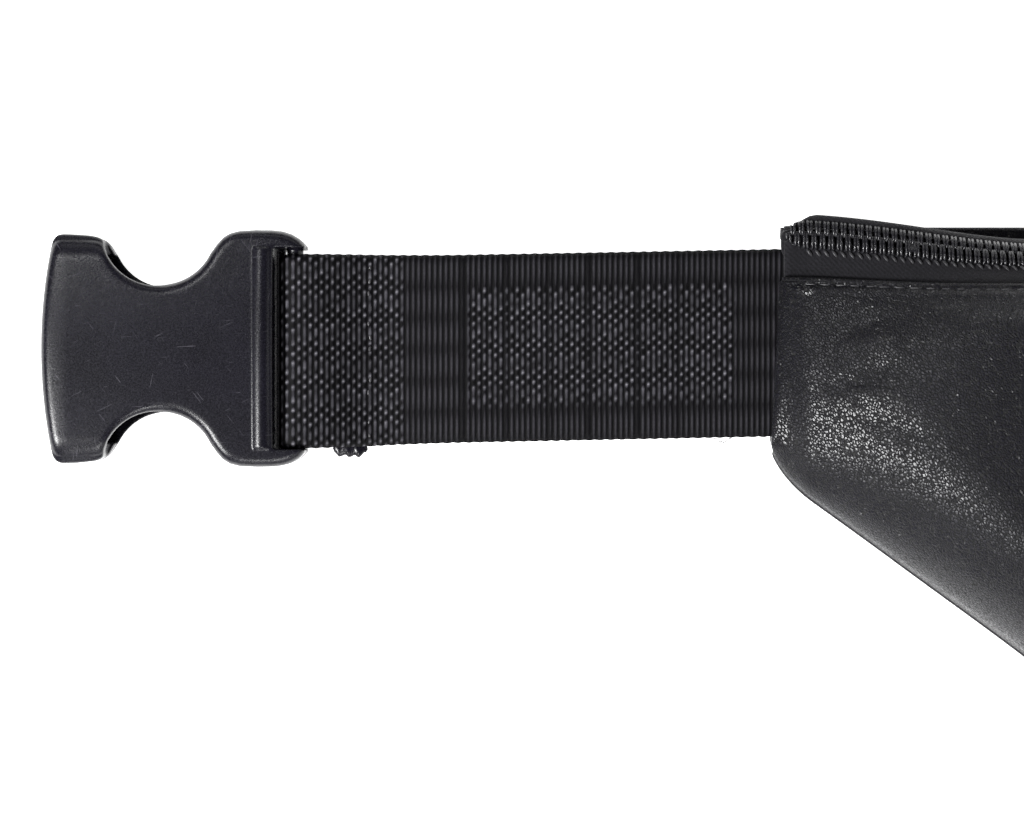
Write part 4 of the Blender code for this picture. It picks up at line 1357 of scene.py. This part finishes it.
def tail_hem(look, thread, z):
    """The tail's end, heat cut and bound with two rows of stitches."""
    x0 = TAIL_LOW.x
    rings, sides = 60, 12
    vertices = []
    for i in range(rings):
        t = i / (rings - 1) * 2 - 1
        y = WEB_Y + 18.9 * MM * t
        round_off = math.sqrt(max(0.0, 1.0 - abs(t) ** 12))
        for j in range(sides):
            turn = 2 * math.pi * j / sides
            rough = 1.0 + 0.08 * math.sin(j * 1.9 + i * 1.1) + 0.05 * math.sin(i * 2.7)
            vertices.append((x0 + 0.95 * MM + 0.85 * MM * rough * round_off * math.cos(turn), y,
                             z + 0.72 * MM * rough * round_off * math.sin(turn)))
    faces = capped_faces(rings, sides)
    sealed = mesh_object("right_strap_tail_seal", vertices, faces, look)
    tidy_normals(sealed)
    pieces = [sealed]
    y = np.linspace(-18.2 * MM, 18.2 * MM, 40) + WEB_Y
    for k, x in enumerate((x0 + 2.6 * MM, x0 + 5.0 * MM)):
        line = np.stack([np.full_like(y, x), y, np.full_like(y, z + 0.74 * MM)], axis=1)
        row = stitch_row("right_strap_tail_stitches_%d" % (k + 1), line,
                         np.tile([0.0, 0.0, 1.0], (40, 1)), thread, 2.6 * MM, 2.2 * MM, 0.24 * MM)
        pieces.append(row)
    return pieces


def make_back(leather, cloth, thread):
    """Back leather: one slightly slack sheet with rounded cut edges, and the linings inside."""
    back = slack_sheet("pouch_back", leather, 0.0, 1.4 * MM, 0.0, 0.35 * MM)
    for vert in back.data.vertices:
        near = float(step((abs(vert.co.x) - 0.168) / 0.006))
        beside = float(step((22.5 * MM - abs(vert.co.y - WEB_Y)) / (2.0 * MM)))
        vert.co.x -= math.copysign(1.1 * MM * near * beside, vert.co.x)
    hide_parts("back_panel")
    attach(back, "pouch")
    inner = slack_sheet("lining_back_cloth", cloth, 1.75 * MM, 2.25 * MM, 4.2 * MM, 0.12 * MM)
    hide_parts("lining_back")
    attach(inner, "pouch")
    xs = end_spaced(POUCH_HALF - 6.0 * MM, 120)
    down = 1.0 - np.cos(np.linspace(0.0, math.pi / 2, 60))
    place = []
    for x in xs:
        bottom = float(lower_edge(np.array(x))) + 6.0 * MM
        top = float(lip_edge(np.array(x))[0]) - 5.0 * MM
        ys = bottom + (top - bottom) * (1.0 - down[::-1])[::-1]
        z = np.maximum(pouch_height(np.full_like(ys, x), ys) - 2.0 * MM, 2.6 * MM)
        place.append(np.stack([np.full_like(ys, x), ys, z], axis=1))
    place = np.array(place)
    dome = mesh_object("lining_front_cloth", place.reshape(-1, 3), grid_faces(*place.shape[:2]), cloth)
    flip_to(dome, Vector((0, 0, 1)))
    solid = dome.modifiers.new("cloth", "SOLIDIFY")
    solid.thickness = 0.4 * MM
    solid.offset = -1.0
    settle(dome)
    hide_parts("lining_front")
    blend_lip(dome)
    line = np.linspace(-POUCH_HALF + 0.012, POUCH_HALF - 0.012, 500)
    low = lower_edge(line) + 3.4 * MM
    sewn = np.stack([line, low, np.full_like(line, 0.12 * MM)], axis=1)
    row = stitch_row("back_seam_stitches", sewn, np.tile([0.0, 0.0, -1.0], (500, 1)), thread,
                     3.2 * MM, 2.6 * MM, 0.24 * MM)
    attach(row, "pouch")


def slack_sheet(name, look, low, high, inset, slack):
    """A sheet over the pouch's outline, its cut edge rounded."""
    xs = end_spaced(POUCH_HALF - inset, 200)
    t = 0.5 - 0.5 * np.cos(np.linspace(0.0, math.pi, 90))
    x = np.repeat(xs[:, None], len(t), axis=1)
    bottom = lower_edge(x) + inset - (0.45 * MM if inset == 0 else 0.0)
    top_y = BACK_HIGH.y - inset
    y = bottom + (top_y - bottom) * t[None, :]
    edge = np.minimum(np.minimum(y - bottom, top_y - y), (POUCH_HALF - inset) - np.abs(x))
    near = 1.0 - np.clip(edge / (0.7 * MM), 0, 1)
    round_off = (high - low) / 2 * (1.0 - np.sqrt(np.clip(1.0 - near ** 2, 0, 1)))
    wave = slack * (np.sin(x * 55.0 + y * 80.0) * np.sin(y * 70.0 - 1.0)) * step(edge / 0.02)
    middle = (low + high) / 2
    upper = high - round_off * 0.96 + np.maximum(wave, -0.2 * MM)
    lower = low + round_off * 0.96 + np.maximum(wave, 0.0)
    px = lean_end(x, y)
    front = np.stack([px, y, upper], axis=-1)
    rear = np.stack([px, y, np.minimum(lower, middle)], axis=-1)
    rows, columns = x.shape
    vertices = np.concatenate([front.reshape(-1, 3), rear.reshape(-1, 3)])
    count = rows * columns
    faces = grid_faces(rows, columns)
    faces += [tuple(count + v for v in reversed(f)) for f in grid_faces(rows, columns)]
    rim = [i * columns for i in range(rows)] + [(rows - 1) * columns + j for j in range(1, columns)]
    rim += [i * columns + columns - 1 for i in reversed(range(rows - 1))]
    rim += list(reversed(range(1, columns - 1)))
    for k, v in enumerate(rim):
        w = rim[(k + 1) % len(rim)]
        faces.append((v, w, count + w, count + v))
    obj = mesh_object(name, vertices, faces, look)
    tidy_normals(obj)
    return obj


# ---------------------------------------------------------------- build

def main():
    set_camera()
    set_lights()
    make_floor()
    webbing = webbing_material()
    plastic = plastic_material()
    leather = leather_material()
    tape = tape_material()
    coil = nylon_material()
    thread = thread_material()
    metal = metal_material()
    cloth = lining_material()
    elastic = elastic_material()
    make_left_strap(webbing, thread, plastic)
    make_female_buckle(plastic)
    make_front(leather, thread)
    make_zip(tape, coil, thread)
    make_zip_ends(tape)
    make_right_strap(webbing, thread)
    make_hardware(plastic, metal, elastic, coil)
    make_back(leather, cloth, thread)


main()
